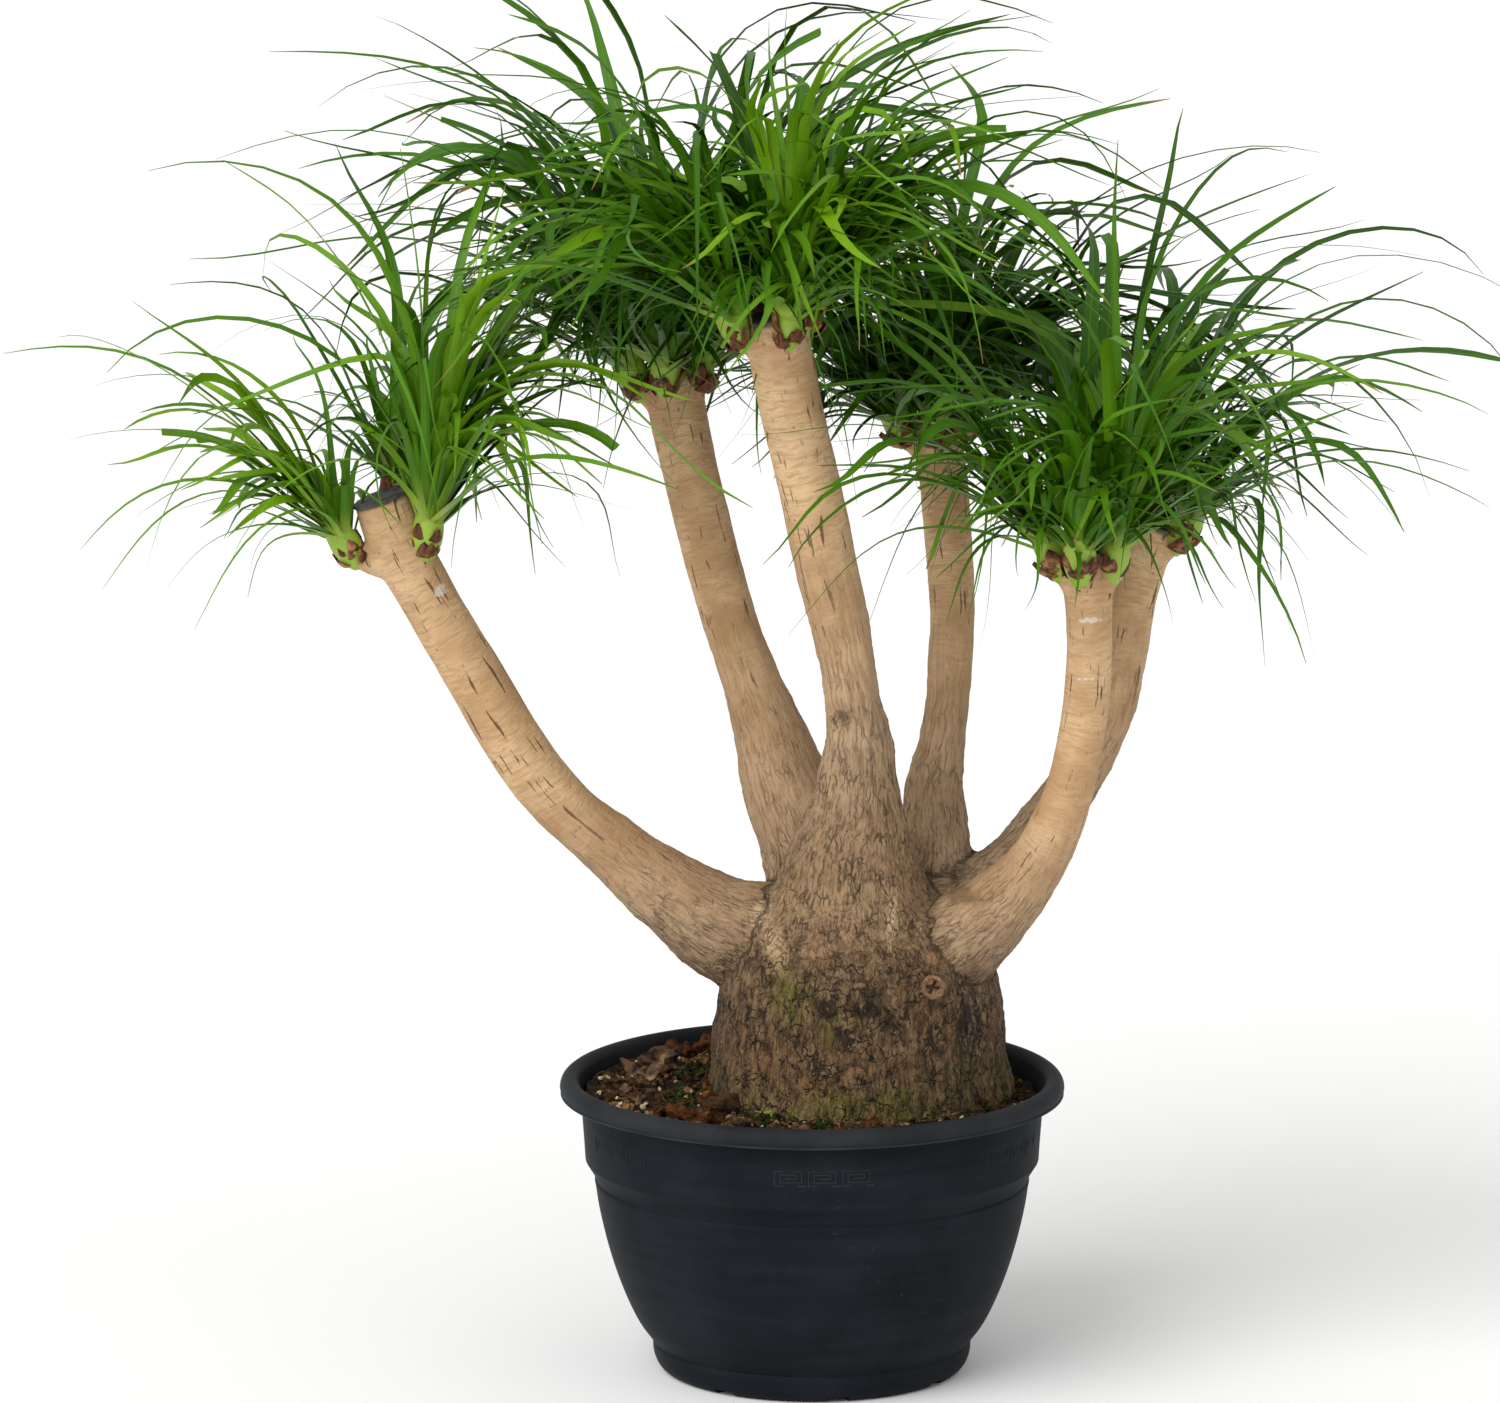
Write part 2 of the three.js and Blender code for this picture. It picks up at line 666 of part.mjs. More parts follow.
/** Whether a blade's root is well sunk in its shoot's core. */
function isRooted(blade, core) {
  return core.intersect(blade.solid).volume() > ROOT_HOLD;
}

/** Turns a leaf a little further round its shoot until it meets no other shoot's leaf. */
function placeLeaf(shoot, owner, core, habit, placed) {
  const root = new THREE.Vector3(...shoot.at)
    .addScaledVector(shootAxis(shoot), habit.height)
    .addScaledVector(compass(habit.angle, 0), ROOT_OFFSET);
  for (let attempt = 0; attempt < LEAF_TRIES; attempt += 1) {
    const side = attempt % 2 === 0 ? 1 : -1;
    const bent = {
      ...habit,
      angle: habit.angle + side * LEAF_NUDGE.angle * attempt,
      droop: habit.droop + LEAF_NUDGE.droop * attempt,
    };
    const grown = makeBlade(root, bent, FIT_GAP);
    const clear = isClear(grown, owner, placed);
    grown.solid.delete();
    const blade = clear && makeBlade(root, bent, 0);
    if (blade && isRooted(blade, core)) {
      return blade;
    }
  }
  return null;
}

/** Each shoot's core, cut to sit against its stem, with the leaves that find a free way. */
function makeShoots(clearance, obstacles) {
  const names = Object.keys(SHOOTS);
  const heads = names.map((name) => [largest(settled(makeCore(SHOOTS[name]).subtract(clearance)))]);
  const placed = [
    ...obstacles.map((solid) => ({ owner: 'trunk', solid, bounds: boundsOf(solid) })),
    ...heads.map(([core], number) => ({ owner: names[number], solid: core, bounds: boundsOf(core) })),
  ];
  const habits = names.map((name, number) => leafHabits(SHOOTS[name], number));
  const most = Math.max(...habits.map((list) => list.length));
  for (let leaf = 0; leaf < most; leaf += 1) {
    names.forEach((name, number) => {
      const habit = habits[number][leaf];
      const blade = habit && placeLeaf(SHOOTS[name], name, heads[number][0], habit, placed);
      if (blade) {
        placed.push({ owner: name, ...blade });
        heads[number].push(blade.solid);
      }
    });
  }
  return names.map((name, number) => [name, joined(heads[number])]);
}

// ---- The whole plant in its pot

const plant = new THREE.Group();
plant.add(namedMesh('pot', makePot(), FINISHES.pot));
plant.add(namedMesh('soil', makeSoil(), FINISHES.soil));

const trunk = joined([makeFoot(), ...Object.values(STEMS).map((stations) => makeStem(stations))]);
plant.add(namedMesh('trunk', trunk, FINISHES.trunk));

const seals = Object.entries(STEMS).map(([name, stations]) => [`seal_${name}`, makeSeal(stations)]);
seals.forEach(([name, seal]) => plant.add(namedMesh(name, seal, FINISHES.seal)));

const clearance = Object.values(STEMS).flatMap((stations) => [
  makeStem(stations, FIT_GAP),
  makeSeal(stations, FIT_GAP),
]);
const shoots = makeShoots(joined(clearance), [trunk, ...seals.map(([, seal]) => seal)]);
shoots.forEach(([name, shoot]) => plant.add(namedMesh(`shoot_${name}`, shoot, FINISHES.shoot)));

export default plant;
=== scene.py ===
"""The looks of a potted ponytail palm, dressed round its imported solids.

The frame is the solids' own: metres, +Z up, +X to the plant's right as seen from its front, and +Y away
from the front. Sizes in tables and fields are in millimetres, and angles in degrees.
"""

import json
import logging
import math
from dataclasses import dataclass, field
from enum import Enum
from typing import Callable, Iterable, Sequence, Union

import bpy
import numpy as np
from mathutils import Matrix, Vector, noise
from mathutils.bvhtree import BVHTree

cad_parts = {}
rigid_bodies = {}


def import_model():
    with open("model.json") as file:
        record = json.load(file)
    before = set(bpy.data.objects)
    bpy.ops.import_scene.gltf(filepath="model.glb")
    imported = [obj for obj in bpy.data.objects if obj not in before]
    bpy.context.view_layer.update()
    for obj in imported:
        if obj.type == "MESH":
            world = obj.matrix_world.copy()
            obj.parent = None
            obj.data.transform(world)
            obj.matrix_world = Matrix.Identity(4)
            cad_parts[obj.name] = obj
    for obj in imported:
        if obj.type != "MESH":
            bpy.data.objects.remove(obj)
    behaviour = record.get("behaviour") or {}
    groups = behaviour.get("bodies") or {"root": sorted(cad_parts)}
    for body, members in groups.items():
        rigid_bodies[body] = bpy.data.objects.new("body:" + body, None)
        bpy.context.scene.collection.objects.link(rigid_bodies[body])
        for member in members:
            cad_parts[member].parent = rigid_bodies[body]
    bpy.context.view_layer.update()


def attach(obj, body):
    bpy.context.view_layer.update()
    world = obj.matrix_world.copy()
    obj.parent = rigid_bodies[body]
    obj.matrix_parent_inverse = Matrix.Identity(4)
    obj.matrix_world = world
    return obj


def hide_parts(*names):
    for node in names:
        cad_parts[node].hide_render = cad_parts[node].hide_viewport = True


LOG = logging.getLogger("palm")
MM = 0.001
BODY = "root"

Piece = bpy.types.Object
Pair = tuple[float, float]
Triple = tuple[float, float, float]
Colour = tuple[float, float, float, float]
Faces = list[tuple[int, ...]]

# ---------------------------------------------------------------------------- the plant's growth

# Centre x, y, z and radius of each stem, from inside the swollen foot to its cut top
STEMS = {
    "left": [
        (-10, 8, 336, 52), (-67, 5, 354, 41), (-111, 2, 382, 32), (-156, -2, 420, 25), (-193, -5, 451, 23),
        (-226, -8, 492, 23.5), (-264, -12, 557, 23), (-300, -16, 621, 22), (-325, -20, 669, 23),
        (-337, -22, 703, 22),
    ],
    "back_left": [
        (20, 25, 349, 49), (0, 45, 401, 38), (-25, 66, 470, 33), (-37, 76, 508, 27), (-49, 84, 539, 23),
        (-61, 92, 570, 22), (-80, 104, 633, 22), (-98, 114, 704, 22), (-110, 122, 759, 23),
        (-115, 124, 781, 21),
    ],
    "front": [
        (31, -8, 330, 84), (31, -12, 366, 70), (31, -21, 400, 56), (33, -30, 433, 45), (36, -38, 466, 34),
        (36, -48, 516, 26), (32, -54, 549, 22), (27, -58, 581, 22), (13, -66, 646, 24), (0, -73, 710, 24),
        (-15, -80, 774, 24), (-25, -85, 826, 24), (-32, -88, 855, 21),
    ],
    "back": [
        (90, 40, 354, 41), (96, 72, 404, 30), (97, 88, 445, 25), (104, 103, 487, 19), (109, 115, 526, 18),
        (111, 132, 596, 18), (108, 146, 650, 19), (103, 160, 704, 19), (98, 166, 732, 18),
    ],
    "front_right": [
        (91, -15, 333, 45), (131, -38, 366, 33), (168, -58, 409, 25), (192, -68, 455, 20),
        (205, -72, 501, 18), (213, -75, 553, 18), (215, -77, 601, 17.5), (213, -79, 649, 19),
        (211, -80, 670, 19),
    ],
    "back_right": [
        (93, 25, 354, 40), (138, 56, 378, 27), (184, 72, 421, 22), (215, 80, 467, 20), (235, 86, 511, 20),
        (246, 91, 559, 20), (253, 95, 602, 20), (263, 100, 638, 20), (270, 103, 659, 20),
    ],
}

# Heights between which each stem's bark turns from the foot's to young; the front one flows into the foot
BARK_TURNS = {
    "front": (500, 720), "left": (345, 490), "back_left": (400, 650), "back": (425, 640),
    "front_right": (345, 480), "back_right": (420, 620),
}

# Swollen foot: radius and height of its outline, its axis beside the pot's, and its lobes
FOOT_OUTLINE = [
    (60, 158), (112, 172), (118, 190), (121, 216), (119, 230), (116, 250), (112.5, 285), (108, 318),
    (100, 340), (90, 358), (76, 374), (54, 390), (20, 398),
]
FOOT_AXIS = (34, 8)
FOOT_LOBES = [(3, 0.02, 40), (5, 0.022, 10), (7, 0.012, 65)]  # how many, how deep, turned by


@dataclass(frozen=True)
class Shoot:
    """One leafy shoot: where it grows, how it leans, and its leaves.

    Its long leaves stand out of the plant's outline, and each is given by its compass angle, rise, droop,
    sweep and length. The others are drawn between the bounds in LEAF_DRAWS.
    """

    at: Triple
    lean: Pair
    leaves: int
    length: float
    spread: float
    long: tuple[tuple[float, float, float, float, float], ...] = ()
    # How young its leaves are, carrying painted light too: rear and back shoots are painted darker, front and
    # left ones paler
    youth: float = 0.4


SHOOTS = {
    "left_inner": Shoot((-303, -33, 664), (10, 10), 100, 340, 29, (
        (225, 88, 105, -40, 420), (140, 88, 10, 0, 280), (200, 80, 60, 0, 250), (150, 86, 145, -35, 370),
        (210, 70, 125, -25, 350), (245, 42, 115, -35, 270), (-60, 30, 45, 15, 340), (10, 74, 10, 0, 290),
        (-45, 72, 50, 0, 310), (45, 76, 10, 0, 270), (-60, 74, 50, -5, 320),
    ), 0.8),
    "left_outer": Shoot((-358, -24, 656), (185, 32), 50, 240, 42, (
        (185, 54, 65, 0, 315), (220, 48, 45, 15, 370), (205, 48, 75, -10, 250), (240, 50, 140, -30, 300),
        (235, 18, 80, 0, 140), (185, 80, 95, -5, 210), (185, 62, 30, -5, 240),
    ), 0.95),
    "left_rear": Shoot((-328, 4, 690), (60, 16), 44, 250, 46, (
        (180, 38, 55, 0, 260), (90, 40, 30, -15, 340),
    ), 0.35),
    "back_left_outer": Shoot((-138, 112, 768), (198, 22), 100, 350, 46, ((215, 58, 80, -20, 430),), 0.3),
    "back_left_front": Shoot((-116, 102, 772), (262, 20), 110, 320, 44, (), 0.35),
    "back_left_inner": Shoot((-92, 120, 770), (-15, 14), 140, 385, 34, (), 0.2),
    "back_left_rear": Shoot((-114, 146, 776), (160, 10), 130, 350, 46, (
        (205, 64, 70, 0, 440), (145, 62, 100, -5, 440), (210, 72, 85, -25, 370), (160, 66, 60, 0, 370),
    ), 0.15),
    "front_middle": Shoot((-19, -108, 840), (-70, 8), 140, 258, 44, (
        (235, 80, 150, 15, 400), (110, 88, 40, 0, 220), (-40, 84, 35, 0, 210), (90, 80, 20, 0, 230),
        (265, 20, 60, -10, 330),
    ), 0.75),
    "front_left": Shoot((-53, -94, 838), (196, 30), 110, 285, 42, (
        (230, 74, 100, 10, 340), (190, 72, 70, 0, 300),
    ), 0.5),
    "front_inner": Shoot((-8, -82, 846), (0, 26), 104, 285, 42, (
        (-25, 88, 110, 20, 300), (20, 66, 105, 20, 330), (-60, 30, 70, 30, 420),
    ), 0.45),
    "front_rear": Shoot((-36, -64, 848), (80, 10), 110, 236, 48, ((50, 56, 50, 10, 310),), 0.25),
    "back_outer": Shoot((77, 161, 721), (205, 34), 86, 265, 44, (), 0.1),
    "back_front": Shoot((97, 146, 725), (262, 22), 90, 280, 46, (), 0.15),
    "back_inner": Shoot((116, 162, 724), (-5, 26), 80, 300, 44, (), 0.1),
    "back_rear": Shoot((99, 186, 726), (60, 12), 84, 275, 46, ((-20, 62, 80, 20, 400),), 0.1),
    "front_right_left": Shoot((193, -82, 656), (188, 26), 50, 270, 32, (
        (195, 40, 50, -5, 200), (225, 32, 70, 20, 340),
    ), 0.45),
    "front_right_middle": Shoot((231, -86, 656), (-10, 8), 104, 285, 42, (
        (-45, 62, 85, 0, 500), (-35, 48, 70, -15, 400), (-40, 36, 15, 5, 260), (95, 86, 10, 0, 300),
        (-85, 62, 125, 0, 420),
    ), 0.55),
    "front_right_small": Shoot((207, -103, 657), (-100, 20), 46, 190, 38, (), 0.5),
    "front_right_rear": Shoot((212, -60, 664), (95, 12), 70, 285, 44, ((-60, 58, 65, 10, 500),), 0.3),
    "back_right_outer": Shoot((288, 96, 648), (-5, 28), 34, 270, 38, (
        (-60, 60, 140, 5, 420), (-60, 44, 160, -15, 200), (-80, 16, 70, 10, 330), (-40, 30, 55, 0, 300),
    ), 0.35),
    "back_right_inner": Shoot((252, 110, 650), (140, 12), 76, 300, 42, ((85, 62, 75, -50, 470),), 0.15),
    "back_right_rear": Shoot((276, 122, 654), (50, 14), 50, 290, 44, (
        (50, 66, 120, -25, 450), (30, 60, 125, -20, 390),
    ), 0.15),
}

# What is drawn for each leaf, from its least to its most: angles in degrees, and shares
LEAF_DRAWS = {
    "aside": (0, 12),  # added to its angle from the shoot's axis
    "around": (-12, 12),  # added to its place round that axis
    "lowest_rise": (6, 42),
    "droop": (0.65, 2.2),  # of its rise
    "more_droop": (0, 34),
    "sweep": (-75, 75),
    "length": (0, 1),  # from the shoot's shortest leaf to its longest
    "width": (0.65, 1.22),
    "bend": (0.32, 0.72),  # where along the leaf it bends over
    "fold": (0.35, 1.1),  # how much of its length the bend takes
    "roll": (-30, 30),
    "twist": (-90, 90),
    "cut": (0, 1),
    "tone": (0, 1),
    "wave": (0, 2 * math.pi),
}
TRAITS = list(LEAF_DRAWS)
GOLDEN_ANGLE = 137.5  # degrees from one leaf to the next round a shoot


class Slot(Enum):
    """The record's material slots."""

    POT = "pot_plastic"
    SOIL = "potting_soil"
    BARK = "bark"
    SEALANT = "wound_sealant"
    LEAF = "leaf"


# -------------------------------------------------------------------------- nodes as expressions

Value = Union["Sock", float, int, bool, str, tuple, Vector, bpy.types.ID]


class Sock:
    """A node's output, on which Python's operators add Math nodes."""

    def __init__(self, nodes: "Nodes", output: bpy.types.NodeSocket) -> None:
        """Holds an output of one of a tree's nodes."""
        self.nodes = nodes
        self.output = output

    def _math(self, operation: str, *values: Value, clamp: bool = False) -> "Sock":
        """Adds one Math node, whose inputs take the values in order."""
        settings = {"operation": operation, "use_clamp": clamp}
        return self.nodes.add("ShaderNodeMath", settings, dict(enumerate(values)))

    def __add__(self, other: Value) -> "Sock":
        """Self + other."""
        return self._math("ADD", self, other)

    __radd__ = __add__

    def __sub__(self, other: Value) -> "Sock":
        """Self - other."""
        return self._math("SUBTRACT", self, other)

    def __rsub__(self, other: Value) -> "Sock":
        """Other - self."""
        return self._math("SUBTRACT", other, self)

    def __mul__(self, other: Value) -> "Sock":
        """Self * other."""
        return self._math("MULTIPLY", self, other)

    __rmul__ = __mul__

    def __truediv__(self, other: Value) -> "Sock":
        """Self / other."""
        return self._math("DIVIDE", self, other)

    def __pow__(self, other: Value) -> "Sock":
        """Self to the power of other."""
        return self._math("POWER", self, other)

    def __abs__(self) -> "Sock":
        """The size of self without its sign."""
        return self._math("ABSOLUTE", self)

    def __gt__(self, other: Value) -> "Sock":
        """1 where self is more than other, else 0."""
        return self._math("GREATER_THAN", self, other)

    def __lt__(self, other: Value) -> "Sock":
        """1 where self is less than other, else 0."""
        return self._math("LESS_THAN", self, other)

    def floor(self) -> "Sock":
        """The whole number at or below self."""
        return self._math("FLOOR", self)

    def sine(self) -> "Sock":
        """The sine of self, in radians."""
        return self._math("SINE", self)

    def cosine(self) -> "Sock":
        """The cosine of self, in radians."""
        return self._math("COSINE", self)

    def held(self) -> "Sock":
        """Self held between 0 and 1."""
        return self._math("ADD", self, 0.0, clamp=True)

    def step(self, low: float, high: float) -> "Sock":
        """A smooth step of self: 0 at low, 1 at high, and turned round where low is above high.

        Args:
            low: the value at which the step is 0.
            high: the value at which the step is 1.

        Returns:
            The step, between 0 and 1.
        """
        backwards = low > high
        settings = {"interpolation_type": "SMOOTHSTEP"}
        ends = {"From Min": min(low, high), "From Max": max(low, high)}
        ends |= {"To Min": float(backwards), "To Max": float(not backwards)}
        return self.nodes.add("ShaderNodeMapRange", settings, {"Value": self, **ends})


class Nodes:
    """Adds nodes to one shader or geometry tree."""

    def __init__(self, tree: bpy.types.NodeTree) -> None:
        """Starts on a tree."""
        self.tree = tree

    @staticmethod
    def _find(sockets: Iterable[bpy.types.NodeSocket], key: int | str) -> bpy.types.NodeSocket:
        """The socket with a number, an identifier or a name."""
        listed = list(sockets)
        if isinstance(key, int):
            return listed[key]
        for socket in listed:
            if socket.identifier == key:
                return socket
        return next(socket for socket in listed if socket.name == key and socket.enabled)

    def add(
        self, kind: str, settings: dict | None = None, sockets: dict | None = None, out: int | str = 0,
    ) -> Sock:
        """Adds a node.

        Args:
            kind: the node's type.
            settings: its settings, set first; "stops" are a colour ramp's places and colours.
            sockets: a value or a link for each input, by number, identifier or name.
            out: the output that is returned.

        Returns:
            The output.
        """
        node = self.tree.nodes.new(kind)
        for name, value in (settings or {}).items():
            if name == "stops":
                self._set_stops(node.color_ramp, value)
            else:
                setattr(node, name, value)
        for key, value in (sockets or {}).items():
            self.plug(self._find(node.inputs, key), value)
        return Sock(self, self._find(node.outputs, out))

    def plug(self, socket: bpy.types.NodeSocket, value: Value) -> None:
        """Links or sets one input."""
        if isinstance(value, Sock):
            self.tree.links.new(value.output, socket)
        else:
            socket.default_value = value

    @staticmethod
    def _set_stops(ramp: bpy.types.ColorRamp, stops: Sequence[tuple[float, Colour]]) -> None:
        """Gives a colour ramp its places and colours."""
        while len(ramp.elements) < len(stops):
            ramp.elements.new(1.0)
        for element, (place, colour) in zip(ramp.elements, stops):
            element.position = place
            element.color = colour

    def attribute(self, name: str, out: str = "Fac") -> Sock:
        """A piece's own attribute: its Fac, Vector or Color."""
        return self.add("ShaderNodeAttribute", {"attribute_name": name}, out=out)

    def place(self) -> Sock:
        """The point's place in the object's own coordinates."""
        return self.add("ShaderNodeTexCoord", out="Object")

    def vectors(self, operation: str, *values: Value) -> Sock:
        """A Vector Math node, whose inputs take the values in order."""
        return self.add("ShaderNodeVectorMath", {"operation": operation}, dict(enumerate(values)))

    def stretched(self, vector: Sock, scale: Triple) -> Sock:
        """A vector with each of its parts multiplied by its own number."""
        return self.vectors("MULTIPLY", vector, scale)

    def part(self, vector: Sock, axis: str) -> Sock:
        """One part, X, Y or Z, of a vector."""
        return self.add("ShaderNodeSeparateXYZ", None, {0: vector}, axis)

    def joined(self, **parts: Value) -> Sock:
        """A vector of the parts X, Y and Z; one that isn't given is 0."""
        return self.add("ShaderNodeCombineXYZ", None, parts)

    def noise(
        self, vector: Sock, scale: float, detail: float = 2.0, rough: float = 0.5, bend: float = 0.0,
    ) -> Sock:
        """Noise between 0 and 1, mostly near a half."""
        sockets = {"Vector": vector, "Scale": scale, "Detail": detail, "Roughness": rough, "Distortion": bend}
        return self.add("ShaderNodeTexNoise", None, sockets, "Fac")

    def cells(self, vector: Sock, scale: float, feature: str = "F1") -> Sock:
        """Distance to the nearest of scattered points, or to the edge between two cells."""
        sockets = {"Vector": vector, "Scale": scale}
        return self.add("ShaderNodeTexVoronoi", {"feature": feature}, sockets, "Distance")

    def warped(self, vector: Sock, scale: float, reach: float) -> Sock:
        """A vector moved about by noise, up to about half the reach."""
        sockets = {"Vector": vector, "Scale": scale, "Detail": 3.0}
        drift = self.add("ShaderNodeTexNoise", None, sockets, "Color")
        middle = self.vectors("SUBTRACT", drift, (0.5, 0.5, 0.5))
        return self.vectors("MULTIPLY_ADD", middle, (reach, reach, reach), vector)

    def mix(self, mask: Value, first: Value, second: Value, blend: str = "MIX") -> Sock:
        """A colour that goes from the first to the second as the mask goes from 0 to 1."""
        settings = {"data_type": "RGBA", "blend_type": blend}
        sockets = {"Factor_Float": mask, "A_Color": first, "B_Color": second}
        return self.add("ShaderNodeMix", settings, sockets, "Result_Color")

    def layered(self, colour: Value, *layers: tuple[Value, Colour]) -> Sock:
        """A colour under thin coats: each is a mask and the colour that it lays over what is below."""
        for mask, paint in layers:
            colour = self.mix(mask, colour, paint)
        return colour


class Growth(Nodes):
    """A Geometry Nodes tree with named inputs that is run on a plain mesh."""

    SOCKETS = {
        float: "NodeSocketFloat", int: "NodeSocketInt", Piece: "NodeSocketObject",
        bpy.types.Collection: "NodeSocketCollection", bpy.types.Material: "NodeSocketMaterial",
    }

    def __init__(self, name: str, inputs: dict[str, type]) -> None:
        """Makes the tree with a mesh, a material and the named inputs."""
        super().__init__(bpy.data.node_groups.new(name, "GeometryNodeTree"))
        face = self.tree.interface
        face.new_socket("Mesh", in_out="INPUT", socket_type="NodeSocketGeometry")
        for label, kind in {**inputs, "Finish": bpy.types.Material}.items():
            face.new_socket(label, in_out="INPUT", socket_type=self.SOCKETS[kind])
        face.new_socket("Piece", in_out="OUTPUT", socket_type="NodeSocketGeometry")
        self.entry = self.tree.nodes.new("NodeGroupInput")

    def given(self, label: str) -> Sock:
        """One of the tree's named inputs."""
        return Sock(self, self._find(self.entry.outputs, label))

    def stored(self, name: str, kind: str = "FLOAT") -> Sock:
        """What each of the mesh's points holds under a name."""
        return self.add("GeometryNodeInputNamedAttribute", {"data_type": kind}, {"Name": name})

    def close(self, geometry: Sock, smooth: bool = True) -> None:
        """Ends the tree: instances made real, shading and finish set."""
        real = self.add("GeometryNodeRealizeInstances", None, {0: geometry})
        shaded = self.add("GeometryNodeSetShadeSmooth", None, {"Geometry": real, "Shade Smooth": smooth})
        coated = {"Geometry": shaded, "Material": self.given("Finish")}
        finished = self.add("GeometryNodeSetMaterial", None, coated)
        exit_node = self.tree.nodes.new("NodeGroupOutput")
        self.plug(exit_node.inputs[0], finished)

    def run(self, base: Piece, name: str, values: dict) -> Piece:
        """Runs the tree on a mesh.

        Args:
            base: the object whose mesh goes in; it is removed afterwards.
            name: the new piece's name.
            values: a value for each named input.

        Returns:
            A new object with the tree's result as a plain mesh.
        """
        modifier = base.modifiers.new("growth", "NODES")
        modifier.node_group = self.tree
        for item in self.tree.interface.items_tree:
            if item.in_out == "INPUT" and item.name in values:
                modifier[item.identifier] = values[item.name]
        return plain_copy(base, name)


# ---------------------------------------------------------------------------------------- meshes


def link(name: str, mesh: bpy.types.Mesh) -> Piece:
    """A new object of a mesh, in the scene."""
    piece = bpy.data.objects.new(name, mesh)
    bpy.context.scene.collection.objects.link(piece)
    return piece


def new_piece(
    name: str, points: np.ndarray, faces: Faces, edges: Sequence[tuple[int, int]] = (),
) -> Piece:
    """A new object from points in metres, and faces or edges between them."""
    mesh = bpy.data.meshes.new(name)
    mesh.from_pydata([tuple(point) for point in points], edges, faces)
    mesh.update()
    return link(name, mesh)


def plain_copy(base: Piece, name: str) -> Piece:
    """What an object's modifiers make of it, as a plain mesh; the object itself is removed."""
    view = bpy.context.evaluated_depsgraph_get()
    view.update()
    mesh = bpy.data.meshes.new_from_object(
        base.evaluated_get(view), preserve_all_data_layers=True, depsgraph=view,
    )
    bpy.data.objects.remove(base)
    mesh.name = name
    return link(name, mesh)


def points_of(piece: Piece) -> np.ndarray:
    """A mesh's points, one row each."""
    flat = np.empty(len(piece.data.vertices) * 3)
    piece.data.vertices.foreach_get("co", flat)
    return flat.reshape(-1, 3)


def set_points(piece: Piece, points: np.ndarray) -> None:
    """Moves a mesh's points."""
    piece.data.vertices.foreach_set("co", points.ravel())
    piece.data.update()


def give_attribute(piece: Piece, name: str, values: np.ndarray) -> None:
    """Stores a number or a vector for each of a mesh's points."""
    vector = values.ndim == 2
    layer = piece.data.attributes.new(name, "FLOAT_VECTOR" if vector else "FLOAT", "POINT")
    layer.data.foreach_set("vector" if vector else "value", values.astype(np.float32).ravel())


def dress(piece: Piece, finish: "Finish", *nodes: str, sharp: float | None = None) -> None:
    """Gives a finished piece its material, its body and the nodes that it stands for."""
    piece.data.materials.clear()
    piece.data.materials.append(finish.material())
    if sharp is not None:
        piece.data.shade_smooth()
        piece.data.set_sharp_from_angle(angle=math.radians(sharp))
    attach(piece, BODY)
    if nodes:
        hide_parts(*nodes)
    LOG.info("%s: %d faces", piece.name, len(piece.data.polygons))


def lofted(rings: Sequence[np.ndarray], first: int = 0) -> Faces:
    """Faces of a closed body through rings of equally many points, with a flat end at each end."""
    sides = len(rings[0])
    faces: Faces = []
    for ring in range(len(rings) - 1):
        for side in range(sides):
            here, after = first + ring * sides + side, first + ring * sides + (side + 1) % sides
            faces.append((here, after, after + sides, here + sides))
    last = first + (len(rings) - 1) * sides
    faces.append(tuple(reversed(range(first, first + sides))))
    faces.append(tuple(range(last, last + sides)))
    return faces


def turned(outline: Sequence[Pair], sides: int) -> tuple[np.ndarray, Faces]:
    """Turns a closed outline about the Z axis.

    Args:
        outline: radius and height pairs that start and end on the axis, outside first.
        sides: how many faces go round.

    Returns:
        The points and the faces, with a single point at each end.
    """
    inner = outline[1:-1]
    angles = np.arange(sides) * 2 * math.pi / sides
    rings = [np.stack([r * np.cos(angles), r * np.sin(angles), np.full(sides, z)], 1) for r, z in inner]
    faces = lofted(rings)[:-2]
    points = np.concatenate([*rings, [(0, 0, outline[0][1]), (0, 0, outline[-1][1])]])
    start, end = len(points) - 2, len(points) - 1
    last = (len(inner) - 1) * sides
    for side in range(sides):
        after = (side + 1) % sides
        faces.append((start, after, side))
        faces.append((end, last + side, last + after))
    return points, faces


def arc(centre: Pair, radii: Pair, angles: Pair, steps: int) -> list[Pair]:
    """Points on part of an ellipse in an outline, from one angle to another in degrees."""
    turns = np.radians(np.linspace(*angles, steps + 1))
    return [(centre[0] + radii[0] * math.cos(t), centre[1] + radii[1] * math.sin(t)) for t in turns]


def smooth_route(stations: np.ndarray, steps: int) -> np.ndarray:
    """A centripetal Catmull-Rom curve through stations.

    Args:
        stations: one row each: a place in its first columns, then anything that is carried along.
        steps: how many steps each span takes.

    Returns:
        The rows along the curve.
    """
    spatial = min(3, stations.shape[1])
    before, after = 2 * stations[0] - stations[1], 2 * stations[-1] - stations[-2]
    padded = np.concatenate([[before], stations, [after]])
    gaps = np.linalg.norm(np.diff(padded[:, :spatial], axis=0), axis=1) ** 0.5
    rows = []
    for span in range(len(stations) - 1):
        before, start, end, after = padded[span : span + 4]
        d0, d1, d2 = gaps[span : span + 3]
        out = ((start - before) / d0 - (end - before) / (d0 + d1) + (end - start) / d1) * d1
        into = ((end - start) / d1 - (after - start) / (d1 + d2) + (after - end) / d2) * d1
        t = (np.arange(steps) / steps)[:, None]
        rows.append(
            (2 * t**3 - 3 * t**2 + 1) * start + (t**3 - 2 * t**2 + t) * out
            + (3 * t**2 - 2 * t**3) * end + (t**3 - t**2) * into
        )
    return np.concatenate([*rows, stations[-1:]])


